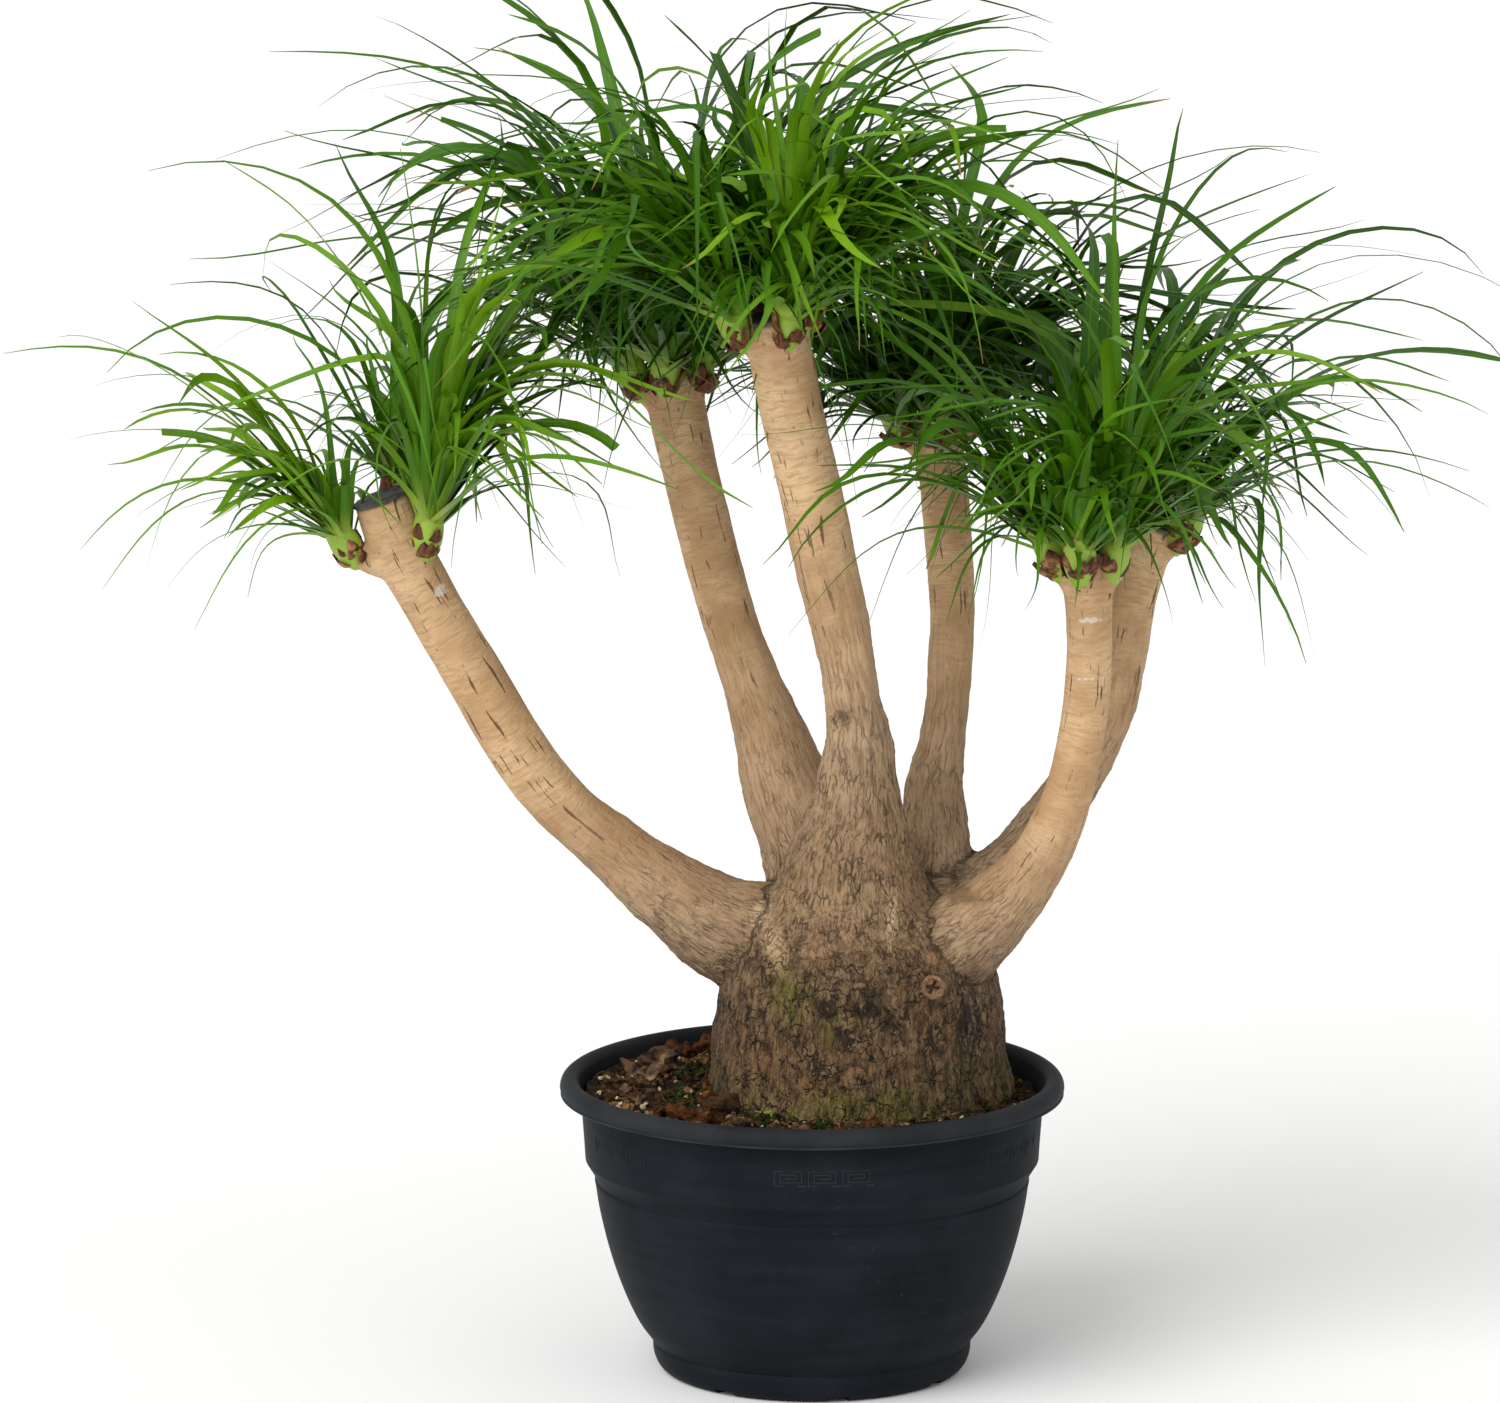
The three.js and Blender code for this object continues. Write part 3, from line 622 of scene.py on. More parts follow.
def unit(rows: np.ndarray) -> np.ndarray:
    """Rows as directions of length 1."""
    return rows / np.linalg.norm(rows, axis=-1, keepdims=True)


def compass(angle: np.ndarray, rise: np.ndarray) -> np.ndarray:
    """Directions from a compass angle from +X and a rise above level, both in degrees."""
    a, r = np.radians(angle), np.radians(rise)
    return np.stack([np.cos(r) * np.cos(a), np.cos(r) * np.sin(a), np.sin(r)], -1)


def lean_axis(shoot: Shoot) -> np.ndarray:
    """The direction in which a shoot grows."""
    angle, tilt = shoot.lean
    return compass(np.array(angle), np.array(90 - tilt))


def upright_to(direction: Sequence[float]) -> np.ndarray:
    """The matrix of the shortest turn from straight up to a direction."""
    return np.array(Vector((0, 0, 1)).rotation_difference(Vector(direction)).to_matrix())


def level_turn(degrees: float) -> np.ndarray:
    """The matrix of a turn about Z."""
    return np.array(Matrix.Rotation(math.radians(degrees), 3, "Z"))


def between(bounds: Pair, share: float | np.ndarray) -> float | np.ndarray:
    """The value that lies a share of the way from the first bound to the second, or many of them."""
    return bounds[0] + (bounds[1] - bounds[0]) * share


def held(value: float) -> float:
    """A value held between 0 and 1."""
    return min(1, max(0, value))


def turn_to(direction: Sequence[float], facing: Sequence[float] | None = None) -> Vector:
    """The Euler turn that lays Z along a direction and, if it is given, X towards where it faces."""
    z = Vector(direction).normalized()
    x = Vector(facing if facing is not None else (1, 0, 0))
    x = (x - z * x.dot(z)).normalized()
    return Vector(Matrix((x, z.cross(x), z)).transposed().to_euler())


# -------------------------------------------------------------------------------------- finishes


def rgb(red: int, green: int, blue: int) -> Colour:
    """A colour given in a picture's numbers from 0 to 255, as light."""
    parts = [value / 255 for value in (red, green, blue)]
    light = [p / 12.92 if p <= 0.04045 else ((p + 0.055) / 1.055) ** 2.4 for p in parts]
    return (*light, 1.0)


@dataclass
class Coat:
    """What a finish gives a surface: its colour, its roughness, and a height that becomes a bump."""

    colour: Sock
    roughness: Value
    height: Sock | None = None
    relief: float = 0.0


@dataclass(frozen=True)
class Finish:
    """A surface's look. Each kind says what its coat is."""

    name: str
    slot: Slot
    specular: float = 0.5

    def coat(self, nodes: Nodes) -> Coat:
        """The finish's own nodes."""
        raise NotImplementedError

    def material(self) -> bpy.types.Material:
        """The finish's material, which is made once."""
        known = bpy.data.materials.get(self.name)
        if known:
            return known
        made = bpy.data.materials.new(self.name)
        made.use_nodes = True
        shader = made.node_tree.nodes["Principled BSDF"]
        shader.inputs["Specular IOR Level"].default_value = self.specular
        nodes = Nodes(made.node_tree)
        coat = self.coat(nodes)
        nodes.plug(shader.inputs["Base Color"], coat.colour)
        nodes.plug(shader.inputs["Roughness"], coat.roughness)
        if coat.height:
            bump = {"Height": coat.height, "Distance": coat.relief, "Strength": 1.0}
            nodes.plug(shader.inputs["Normal"], nodes.add("ShaderNodeBump", None, bump))
        return made


@dataclass(frozen=True)
class PotPlastic(Finish):
    """Near-black moulded plastic, a little dusty and scuffed, with a paler lip that is dusty and carries
    painted highlights.
    """

    dark: Colour = rgb(22, 25, 29)
    pale: Colour = rgb(32, 35, 40)
    # Pale dusty specks and scuffs, and painted highlights on the lip and along its lower edge
    dust: Colour = rgb(66, 68, 68)
    lip_heights: Pair = (0.219, 0.229)

    def coat(self, nodes: Nodes) -> Coat:
        """Clouded colour, faint streaks round the wall, fine grain; the lip is painted paler, dusty and with
        painted highlights.
        """
        place = nodes.place()
        cloud = nodes.noise(place, 14, 4, 0.6)
        streak = nodes.noise(nodes.stretched(place, (6, 6, 90)), 1, 3, 0.6)
        speck_areas = nodes.noise(place, 9, 2).step(0.5, 0.7)
        specks = nodes.noise(place, 260, 2, 0.5).step(0.66, 0.76) * speck_areas
        # The lip is painted paler: dusty, with a painted highlight where it faces up
        lip = nodes.part(place, "Z").step(*self.lip_heights) * cloud
        dusty = specks * 0.45 + nodes.attribute("edge") * 0.8 + lip * 0.5
        colour = nodes.layered(
            self.dark, ((cloud * 0.6 + streak * 0.4).step(0.35, 0.7), self.pale), (dusty.held(), self.dust),
        )
        grain = nodes.noise(place, 900, 2, 0.6)
        return Coat(colour, 0.42 + 0.2 * cloud, grain * 0.25 + streak * 0.3, 0.12 * MM)


@dataclass(frozen=True)
class Bark(Finish):
    """Tan wrinkled bark on the young stems, grey-brown fissured bark on the swollen foot."""

    tan: Colour = rgb(212, 179, 138)
    tan_deep: Colour = rgb(172, 134, 94)
    crack: Colour = rgb(84, 58, 36)
    old: Colour = rgb(178, 151, 121)
    # Pale fibres, and painted highlights on the foot's lumps
    old_pale: Colour = rgb(212, 186, 152)
    old_dark: Colour = rgb(116, 92, 68)
    rust: Colour = rgb(206, 160, 122)
    peeled: Colour = rgb(250, 222, 184)
    algae: Colour = rgb(164, 170, 72)
    # Soot for stains, cracks and sooty patches, and painted shade in pits and seams
    soot: Colour = rgb(30, 25, 20)
    # Painted shade in the hollows between the foot's lumps
    hollow: Colour = rgb(70, 58, 45)
    shade: Colour = rgb(210, 203, 192)
    chalk: Colour = rgb(214, 204, 188)
    scar: Colour = rgb(172, 132, 98)

    def coat(self, nodes: Nodes) -> Coat:
        """Patterns run on the grain, which holds each point's place as if its stem were straight."""
        place = nodes.place()
        broad = nodes.noise(place, 16, 3, 0.6)
        age = (nodes.attribute("age") * 1.15 + nodes.noise(place, 30, 4, 0.6) * 0.5 - 0.32).held()
        tan, young_height = self.young(nodes, broad)
        worn, old_height = self.worn(nodes, broad)
        powder = nodes.attribute(Tint.CHALK.value) * 0.6 + nodes.noise(place, 160, 4, 0.7)
        # Painted shade lies in knot holes, hollows and the dips round knobs
        colour = nodes.layered(
            nodes.mix(age, tan, worn), (powder.step(0.86, 1.05) * 0.75, self.chalk),
            (nodes.attribute("knob"), self.scar), (nodes.attribute("pit"), self.soot),
        )
        return Coat(colour, 0.78 + 0.12 * broad, young_height * (1 - age) + old_height * age, 2.2 * MM)

    def young(self, nodes: Nodes, broad: Sock) -> tuple[Sock, Sock]:
        """The stems' bark: short wrinkles across, staggered cracks along, and dots.

        Args:
            nodes: the material's nodes.
            broad: the clouding that the whole bark shares.

        Returns:
            The colour and the height.
        """
        grain = nodes.attribute("grain", "Vector")
        wavy = nodes.warped(grain, 30, 0.014)
        wrinkle = nodes.noise(nodes.stretched(wavy, (60, 60, 330)), 1, 4, 0.62)
        fine = nodes.noise(nodes.stretched(grain, (90, 90, 900)), 1, 3, 0.6)
        cracks = nodes.noise(nodes.stretched(grain, (240, 240, 27)), 1, 3, 0.55, 0.5).step(0.635, 0.68)
        dots = nodes.cells(nodes.stretched(grain, (1, 1, 0.7)), 150).step(0.2, 0.08)
        dots = dots * nodes.noise(grain, 50, 1).step(0.5, 0.6)
        deep = broad.step(0.35, 0.68) * 0.8 + nodes.attribute("age").step(0.0, 0.7) * 0.7
        tan = nodes.layered(
            self.tan,
            (deep.held(), self.tan_deep),
            (wrinkle.step(0.47, 0.62) * 0.6, self.tan_deep),
            (fine.step(0.5, 0.66) * 0.35, self.tan_deep),
            (cracks * 0.85, self.crack),
            (dots * 0.35, self.crack),
        )
        return tan, wrinkle * 0.7 + fine * 0.2 - cracks * 0.5 + dots * 0.2

    def worn(self, nodes: Nodes, broad: Sock) -> tuple[Sock, Sock]:
        """The foot's bark: upright fibres, then a lumpy crust split by cracks, stained in patches, with
        painted highlights on its lumps and painted shade in their hollows.

        Args:
            nodes: the material's nodes.
            broad: the clouding that the whole bark shares.

        Returns:
            The colour and the height.
        """
        grain = nodes.attribute("grain", "Vector")
        place = nodes.place()
        height = nodes.part(place, "Z")
        foot = height.step(0.60, 0.41) * (0.35 + nodes.attribute("foot") * 0.65)
        low = height.step(0.39, 0.32) * foot
        bent = nodes.warped(grain, 60, 0.006)
        fibre = nodes.noise(nodes.stretched(bent, (430, 430, 22)), 1, 4, 0.62, 0.2)
        lumps = nodes.noise(nodes.stretched(nodes.warped(grain, 60, 0.02), (1, 1, 0.48)), 130, 6, 0.74)
        narrow = nodes.stretched(nodes.warped(grain, 110, 0.007), (1, 1, 0.2))
        plates = nodes.cells(narrow, 190, "DISTANCE_TO_EDGE")
        splits = plates.step(0.10, 0.0) * nodes.noise(place, 60, 3, 0.6).step(0.44, 0.62)
        broken = nodes.stretched(nodes.warped(grain, 70, 0.03), (1, 1, 0.45))
        wide = nodes.cells(broken, 95, "DISTANCE_TO_EDGE")
        gashes = wide.step(0.07, 0.0) * nodes.noise(place, 42, 4, 0.6).step(0.40, 0.50)
        mottle = nodes.noise(place, 70, 6, 0.78)
        tinted = (
            (Tint.PEELED, self.peeled, 0.95), (Tint.RUSTY, self.rust, 0.7),
            (Tint.ALGAE, self.algae, 0.7), (Tint.STAIN, self.soot, 0.92),
        )
        crust = nodes.layered(
            self.old,
            (broad.step(0.42, 0.7) * 0.35, self.old_dark),
            (nodes.noise(place, 26, 4, 0.6).step(0.48, 0.7) * foot * 0.25, self.rust),
            *(
                ((nodes.attribute(tint.value) * 0.55 + mottle).step(0.66, 1.02) * strength, paint)
                for tint, paint, strength in tinted
            ),
            (height.step(0.266, 0.226) * mottle.step(0.38, 0.58) * 0.75, self.algae),
            (fibre.step(0.52, 0.38) * (0.6 + 0.25 * foot), self.old_dark),
            (fibre.step(0.55, 0.68) * 0.45, self.old_pale),
            # Painted highlights on the lumps' tops and painted shade in their hollows
            (lumps.step(0.51, 0.59) * foot * (0.14 + 0.7 * low), self.old_pale),
            (lumps.step(0.50, 0.39) * foot * (0.2 + 0.4 * low), self.hollow),
        )
        for mask in (foot, low):
            crust = nodes.mix(mask, crust, self.shade, "MULTIPLY")
        sooty = nodes.noise(place, 24, 6, 0.7).step(0.57, 0.68) * low
        crust = nodes.layered(
            crust,
            ((splits * (0.15 + 0.5 * foot) + gashes * low * 0.9).held(), self.soot),
            (sooty * 0.4, self.soot),
            # Painted shade in the seams where two stems meet
            (nodes.attribute("seam") * mottle.step(0.35, 0.6) * 0.7, self.soot),
        )
        relief = fibre * 0.6 + plates.step(0.0, 0.2) * 0.25 * foot + lumps * (0.4 + 3.2 * low)
        return crust, relief - splits * 0.4 - gashes * low * 1.2


@dataclass(frozen=True)
class LeafBlade(Finish):
    """A waxy strap leaf: yellow-green at the heart, deeper outwards, brown at its thin tip."""

    heart: Colour = rgb(184, 204, 84)
    fresh: Colour = rgb(128, 172, 16)
    green: Colour = rgb(66, 116, 4)
    deep: Colour = rgb(30, 66, 2)
    dry: Colour = rgb(140, 106, 60)
    rib_count: float = 38.0

    def coat(self, nodes: Nodes) -> Coat:
        """Colour by how far out and how young the leaf is, where the youth also carries painted light, with
        fine ribs along it.
        """
        out = nodes.attribute("out")
        tone = nodes.attribute("tone")
        youth = nodes.attribute("youth")
        across = nodes.attribute("across")
        place = nodes.place()
        cloud = nodes.noise(place, 18, 2, 0.5)
        # Painted light enters through the youth: darker on the shaded back shoots, paler on the lit front and
        # left ones
        shade = (youth * 0.55 + tone * 0.32 + cloud * 0.3 - 0.16).held()
        ribs = (across * self.rib_count).sine() * 0.5 + 0.5
        blade = nodes.layered(
            self.deep,
            (shade.step(0.0, 0.5), self.green),
            (shade.step(0.4, 1.0), self.fresh),
            (out.step(0.2, 0.0) * (0.35 + 0.6 * youth), self.heart),
            (ribs * 0.16, self.deep),
            (abs(across).step(0.12, 0.0) * 0.3, self.fresh),
            ((out + tone * 0.1).step(1.0, 1.09), self.dry),
        )
        return Coat(blade, 0.36 + 0.16 * cloud, ribs, 0.05 * MM)


@dataclass(frozen=True)
class Husk(Finish):
    """Dry reddish-brown papery scales at a shoot's base."""

    red: Colour = rgb(112, 66, 40)
    dark: Colour = rgb(60, 38, 24)
    pale: Colour = rgb(178, 132, 88)

    def coat(self, nodes: Nodes) -> Coat:
        """Streaked and paler in patches."""
        place = nodes.place()
        streak = nodes.noise(nodes.stretched(place, (260, 260, 60)), 1, 4, 0.6)
        patch = nodes.noise(place, 70, 3, 0.6)
        colour = nodes.layered(
            self.dark, (streak.step(0.35, 0.62), self.red), (patch.step(0.52, 0.7) * 0.8, self.pale),
        )
        return Coat(colour, 0.62, streak, 0.5 * MM)


@dataclass(frozen=True)
class Mottled(Finish):
    """Three earthy colours clouded into each other, as on soil, bark chips, grit or moss."""

    dark: Colour = rgb(14, 10, 6)
    middle: Colour = rgb(36, 25, 16)
    pale: Colour = rgb(80, 58, 38)
    scale: float = 120.0
    roughness: float = 0.9
    relief: float = 1.2 * MM

    def coat(self, nodes: Nodes) -> Coat:
        """Clouds of the three colours and grains of the same scale."""
        place = nodes.place()
        coarse = nodes.noise(place, self.scale, 5, 0.65)
        patch = nodes.noise(place, self.scale * 0.28, 3, 0.6)
        colour = nodes.layered(
            self.dark, (coarse.step(0.36, 0.58), self.middle),
            ((coarse * 0.5 + patch * 0.5).step(0.52, 0.66), self.pale),
        )
        return Coat(colour, self.roughness, nodes.noise(place, self.scale * 3, 4, 0.7), self.relief)


@dataclass(frozen=True)
class Sealant(Finish):
    """Dried dark wound sealant."""

    dark: Colour = rgb(52, 50, 49)
    pale: Colour = rgb(96, 93, 90)

    def coat(self, nodes: Nodes) -> Coat:
        """Slightly dusty and brushed."""
        place = nodes.place()
        cloud = nodes.noise(place, 90, 4, 0.6)
        brushed = nodes.noise(nodes.stretched(place, (300, 60, 60)), 1, 3, 0.6)
        colour = nodes.mix(cloud.step(0.35, 0.7), self.dark, self.pale)
        return Coat(colour, 0.55 + 0.2 * cloud, brushed, 0.6 * MM)


@dataclass(frozen=True)
class Floor(Finish):
    """A plain pale floor."""

    pale: Colour = rgb(247, 247, 246)
    cloudy: Colour = rgb(232, 232, 231)

    def coat(self, nodes: Nodes) -> Coat:
        """One pale colour with hardly any clouding."""
        cloud = nodes.noise(nodes.place(), 3, 2, 0.5)
        return Coat(nodes.mix(cloud * 0.03, self.pale, self.cloudy), 0.8)


POT_PLASTIC = PotPlastic("pot_plastic_satin", Slot.POT, specular=0.03)
BARK = Bark("bark_tan_to_grey", Slot.BARK, specular=0.25)
LEAF = LeafBlade("leaf_waxy_green", Slot.LEAF, specular=0.24)
HEART = LeafBlade("leaf_heart_pale", Slot.LEAF, specular=0.4)
HUSK = Husk("husk_papery_brown", Slot.LEAF, specular=0.2)
SEALANT = Sealant("sealant_dry_grey", Slot.SEALANT, specular=0.3)
SOIL = Mottled("soil_damp_brown", Slot.SOIL, 0.1)
CRUMB = Mottled(
    "crumb_brown", Slot.SOIL, 0.1, rgb(20, 14, 9), rgb(66, 47, 29), rgb(150, 114, 74), scale=70,
)
CHIP = Mottled(
    "chip_grey_brown", Slot.SOIL, 0.1, rgb(36, 27, 19), rgb(92, 70, 52), rgb(170, 142, 108), scale=80,
)
FIBRE = Mottled(
    "fibre_orange_brown", Slot.SOIL, 0.1, rgb(34, 19, 10), rgb(92, 54, 28), rgb(160, 104, 58),
    scale=150, relief=2.4 * MM,
)
PERLITE = Mottled(
    "perlite_cream", Slot.SOIL, 0.3, rgb(140, 124, 84), rgb(202, 188, 146), rgb(236, 228, 200),
    scale=200, relief=0.6 * MM,
)
MOSS = Mottled(
    "moss_dark_green", Slot.SOIL, 0.1, rgb(14, 19, 7), rgb(36, 45, 15), rgb(82, 92, 32), scale=160,
)
TWIG = Mottled(
    "twig_brown", Slot.SOIL, 0.2, rgb(44, 28, 18), rgb(92, 62, 38), rgb(148, 110, 70), scale=140,
)
FLOOR = Floor("floor_pale", Slot.SOIL)


# ------------------------------------------------------------------------------------------- pot


@dataclass
class Pot:
    """The round nursery pot, its foot's notches and drains, and the key pattern on its band."""

    height: float = 237.5
    wall: float = 3.5
    lip_radius: float = 200
    lip_width: float = 16
    lip_height: float = 14
    band_top: float = 183.5
    band_foot: Pair = (180, 172)
    shoulder: Pair = (172.5, 155)
    belly: tuple[Pair, ...] = (
        (126.8, 24), (138.6, 40.5), (151.4, 68.5), (161.6, 99.5), (169, 131), (171.8, 149),
    )
    foot_radius: float = 126.5
    foot_flat: float = 114
    foot_inner: float = 108
    foot_rise: float = 19
    pad_radius: float = 30
    underside: float = 6
    floor_top: float = 10
    sides: int = 192
    notches: int = 8
    notch_size: Triple = (34, 17, 9)
    first_notch: float = -125
    drains: int = 6
    drain_radius: float = 6
    drain_circle: float = 78
    drain_sides: int = 24
    cut_reach: float = 20
    lip_spring: float = 4.5
    lip_bead: tuple[Pair, ...] = ((-3.2, -0.6), (-1.4, -0.9), (-0.5, -0.4), (-0.6, 0.7), (-1.1, 1.2))
    parting_drop: float = 0.9
    parting_width: float = 1.1
    sharp: float = 38
    key_height: Pair = (189.5, 201.5)
    key_groups: int = 6
    key_units: int = 3
    key_pitch: float = 26.5
    key_turn: float = -87
    key_stroke: float = 1.0
    key_relief: float = 0.3
    key_middle: float = 0.46
    # Least wear, how much more the front group has, and over how many degrees
    key_worn: Triple = (0.1, 0.4, 22)
    key_line: tuple[Pair, ...] = (
        (0.93, 0), (0, 0), (0, 1), (0.8, 1), (0.8, 0.24), (0.16, 0.24), (0.16, 0.76), (0.64, 0.76),
        (0.64, 0.5), (0.32, 0.5),
    )

    def outline(self) -> list[Pair]:
        """Radius and height of the wall's section, outside first, then inside."""
        wall, pad, inner = self.wall, self.pad_radius, self.foot_inner
        foot, flat = self.foot_radius, self.foot_flat
        (shoulder, shoulder_z), (band, band_z) = self.shoulder, self.band_foot
        under = self.height - self.lip_height
        spring = under + self.lip_spring
        lip_centre = self.lip_radius - self.lip_width / 2
        belly = [tuple(row) for row in smooth_route(np.array(self.belly, float), 5)]
        return [
            (0, 0), (pad, 0), (pad + 1, self.underside),
            (inner - 1, self.underside), (inner, 0.4), (inner + 0.5, 0),
            *arc((flat, self.foot_rise), (foot - flat, self.foot_rise), (-90, 0), 8),
            (foot - 0.2, 21.5), (foot - 0.9, 22.6),
            *belly,
            *arc((shoulder - 2, shoulder_z - 2.5), (2, 2), (0, 60), 3),
            (shoulder + 0.4, shoulder_z + 4), (band - 3, band_z - 6.5),
            *arc((band - 2.5, band_z - 1), (2.5, 2.5), (-50, 0), 4),
            (band + 0.5, 180), (self.band_top - 0.7, 212),
            (self.band_top, under - 1.2), (self.band_top + 1.2, under + 0.2),
            *[(self.lip_radius + out, under + up) for out, up in self.lip_bead],
            *arc((lip_centre, spring), (self.lip_width / 2, self.height - spring), (0, 180), 14),
            (self.band_top - wall + 0.4, 218), (band - wall, band_z),
            *[(radius - wall, height) for radius, height in reversed(belly[::4])],
            (foot - 10, self.floor_top), (0, self.floor_top),
        ]

    def cutters(self) -> Piece:
        """The bodies that cut the foot's notches and the drain holes, in one mesh."""
        points: list[np.ndarray] = []
        faces: Faces = []
        base = ((-1, -1), (1, -1), (1, 1), (-1, 1))
        corners = np.array([(x, y, z) for z in (-1, 1) for x, y in base]) / 2
        middle = (self.foot_inner + self.foot_radius) / 2
        for number in range(self.notches):
            turn = level_turn(self.first_notch + number * 360 / self.notches)
            faces += lofted([corners[:4], corners[4:]], 8 * number)
            points.append((corners * self.notch_size + (middle, 0, 0)) @ turn.T)
        ring = np.arange(self.drain_sides) * 2 * math.pi / self.drain_sides
        for number in range(self.drains):
            angle = math.radians(number * 360 / self.drains)
            centre = self.drain_circle * np.array([math.cos(angle), math.sin(angle)])
            level = centre + self.drain_radius * np.stack([np.cos(ring), np.sin(ring)], 1)
            ends = (-self.cut_reach, self.cut_reach)
            tube = [np.column_stack([level, np.full(self.drain_sides, end)]) for end in ends]
            faces += lofted(tube, sum(len(block) for block in points))
            points += tube
        return new_piece("cutters", np.concatenate(points) * MM, faces)

    def build(self) -> None:
        """Makes the pot and its key pattern."""
        points, faces = turned(self.outline(), self.sides)
        pot = new_piece("pot_shell", points * MM, faces)
        cutters = self.cutters()
        cut = pot.modifiers.new("cut", "BOOLEAN")
        cut.operation = "DIFFERENCE"
        cut.solver = "EXACT"
        cut.object = cutters
        pot = plain_copy(pot, "pot_shell")
        bpy.data.objects.remove(cutters)
        give_attribute(pot, "edge", self.scuffs(points_of(pot)))
        dress(pot, POT_PLASTIC, "pot", sharp=self.sharp)
        pattern = self.key_pattern()
        bearing = np.degrees(np.arctan2(*points_of(pattern)[:, 1::-1].T))
        least, more, wide = self.key_worn
        give_attribute(pattern, "edge", least + more * np.exp(-(((bearing - self.key_turn) / wide) ** 4)))
        dress(pattern, POT_PLASTIC, sharp=self.sharp)

    def scuffs(self, points: np.ndarray) -> np.ndarray:
        """How pale each point is, scuffed and with a painted highlight: patches along the parting line under
        the lip.
        """
        radius = np.hypot(points[:, 0], points[:, 1]) / MM
        # A painted highlight with scuffs along the lip's lower edge
        parting = self.height - self.lip_height - self.parting_drop
        near = np.exp(-(((points[:, 2] / MM - parting) / self.parting_width) ** 2))
        patchy = np.array([0.55 + 0.9 * noise.noise(Vector(point) * 28) for point in points])
        return near * (radius > self.lip_radius - 2.6) * np.clip(patchy, 0, 1)

    def key_pattern(self) -> Piece:
        """The raised key pattern: one unit's line, repeated and wrapped round the band."""
        low, high = self.key_height
        line = np.array(self.key_line) * (self.key_pitch, high - low)
        flat = np.column_stack([line, np.zeros(len(line))])
        base = new_piece("key_line", flat * MM, [], [(i, i + 1) for i in range(len(line) - 1)])
        foot_radius, foot_height = self.band_foot
        taper = (self.band_top - foot_radius) / (self.height - self.lip_height - foot_height)
        values = {
            "Pitch": self.key_pitch * MM, "Units": self.key_units, "Groups": self.key_groups,
            "Radius": (foot_radius + taper * (low - foot_height)) * MM, "Low": low * MM,
            "Turn": math.radians(self.key_turn), "Stroke": self.key_stroke * MM,
            "Relief": self.key_relief * MM, "Taper": taper,
        }
        tree = Growth("key_band", {name: type(value) for name, value in values.items()})
        stroke = tree.add(
            "GeometryNodeCurvePrimitiveQuadrilateral", {"mode": "RECTANGLE"},
            {"Width": tree.given("Stroke"), "Height": tree.given("Relief") * 2},
        )
        curve = tree.add("GeometryNodeMeshToCurve", None, {"Mesh": tree.given("Mesh")})
        curve = tree.add("GeometryNodeSetCurveNormal", {"mode": "Z_UP"}, {"Curve": curve})
        sweep = {"Curve": curve, "Profile Curve": stroke, "Fill Caps": True}
        bar = tree.add("GeometryNodeCurveToMesh", None, sweep)
        index = tree.add("GeometryNodeInputIndex")
        group = (index / tree.given("Units")).floor()
        angle = tree.given("Turn") + group * (2 * math.pi / self.key_groups)
        unit_number = index - group * tree.given("Units")
        offset = (unit_number - (self.key_units - 1) / 2 - self.key_middle) * tree.given("Pitch")
        spot = tree.joined(X=angle * tree.given("Radius") + offset)
        count = tree.given("Units") * tree.given("Groups")
        dots = tree.add("GeometryNodePoints", None, {"Count": count, "Position": spot})
        many = tree.add("GeometryNodeInstanceOnPoints", None, {"Points": dots, "Instance": bar})
        real = tree.add("GeometryNodeRealizeInstances", None, {0: many})
        here = tree.add("GeometryNodeInputPosition")
        x, y, z = (tree.part(here, axis) for axis in "XYZ")
        bearing = x / tree.given("Radius")
        reach = tree.given("Radius") + z + y * tree.given("Taper")
        wrapped = tree.joined(X=reach * bearing.cosine(), Y=reach * bearing.sine(), Z=y + tree.given("Low"))
        bent = tree.add("GeometryNodeSetPosition", None, {"Geometry": real, "Position": wrapped})
        tree.close(bent, smooth=False)
        return tree.run(base, "pot_key_pattern", values | {"Finish": POT_PLASTIC.material()})


# ----------------------------------------------------------------------------------------- trunk


GUIDE_STEPS = 12  # between two of a stem's stations
FROM_FRONT = Vector((0, 1, 0))  # the way in which marks on the bark are looked for


@dataclass
class StemGuide:
    """A stem's centre line, finely stepped, with its radius and a frame across it at each step."""

    centres: np.ndarray
    radii: np.ndarray
    along: np.ndarray
    side: np.ndarray
    front: np.ndarray
    run: np.ndarray

    @classmethod
    def through(cls, stations: Sequence[tuple[float, float, float, float]]) -> "StemGuide":
        """The guide through a stem's stations, which are in millimetres."""
        rows = smooth_route(np.array(stations, float), GUIDE_STEPS) * MM
        centres = rows[:, :3]
        along = unit(np.gradient(centres, axis=0))
        side = unit(np.cross((0, 1, 0), along))
        lengths = np.linalg.norm(np.diff(centres, axis=0), axis=1)
        run = np.concatenate([[0], np.cumsum(lengths)]) + centres[0, 2]
        return cls(centres, rows[:, 3], along, side, np.cross(along, side), run)


@dataclass(frozen=True)
class Knot:
    """A mark on the bark, found by looking from the front at its x and z."""

    name: str
    x: float
    z: float
    size: float
    rise: float
    # How much painted shade lies in its pit
    pit: float = 0.0
    knob: float = 0.0


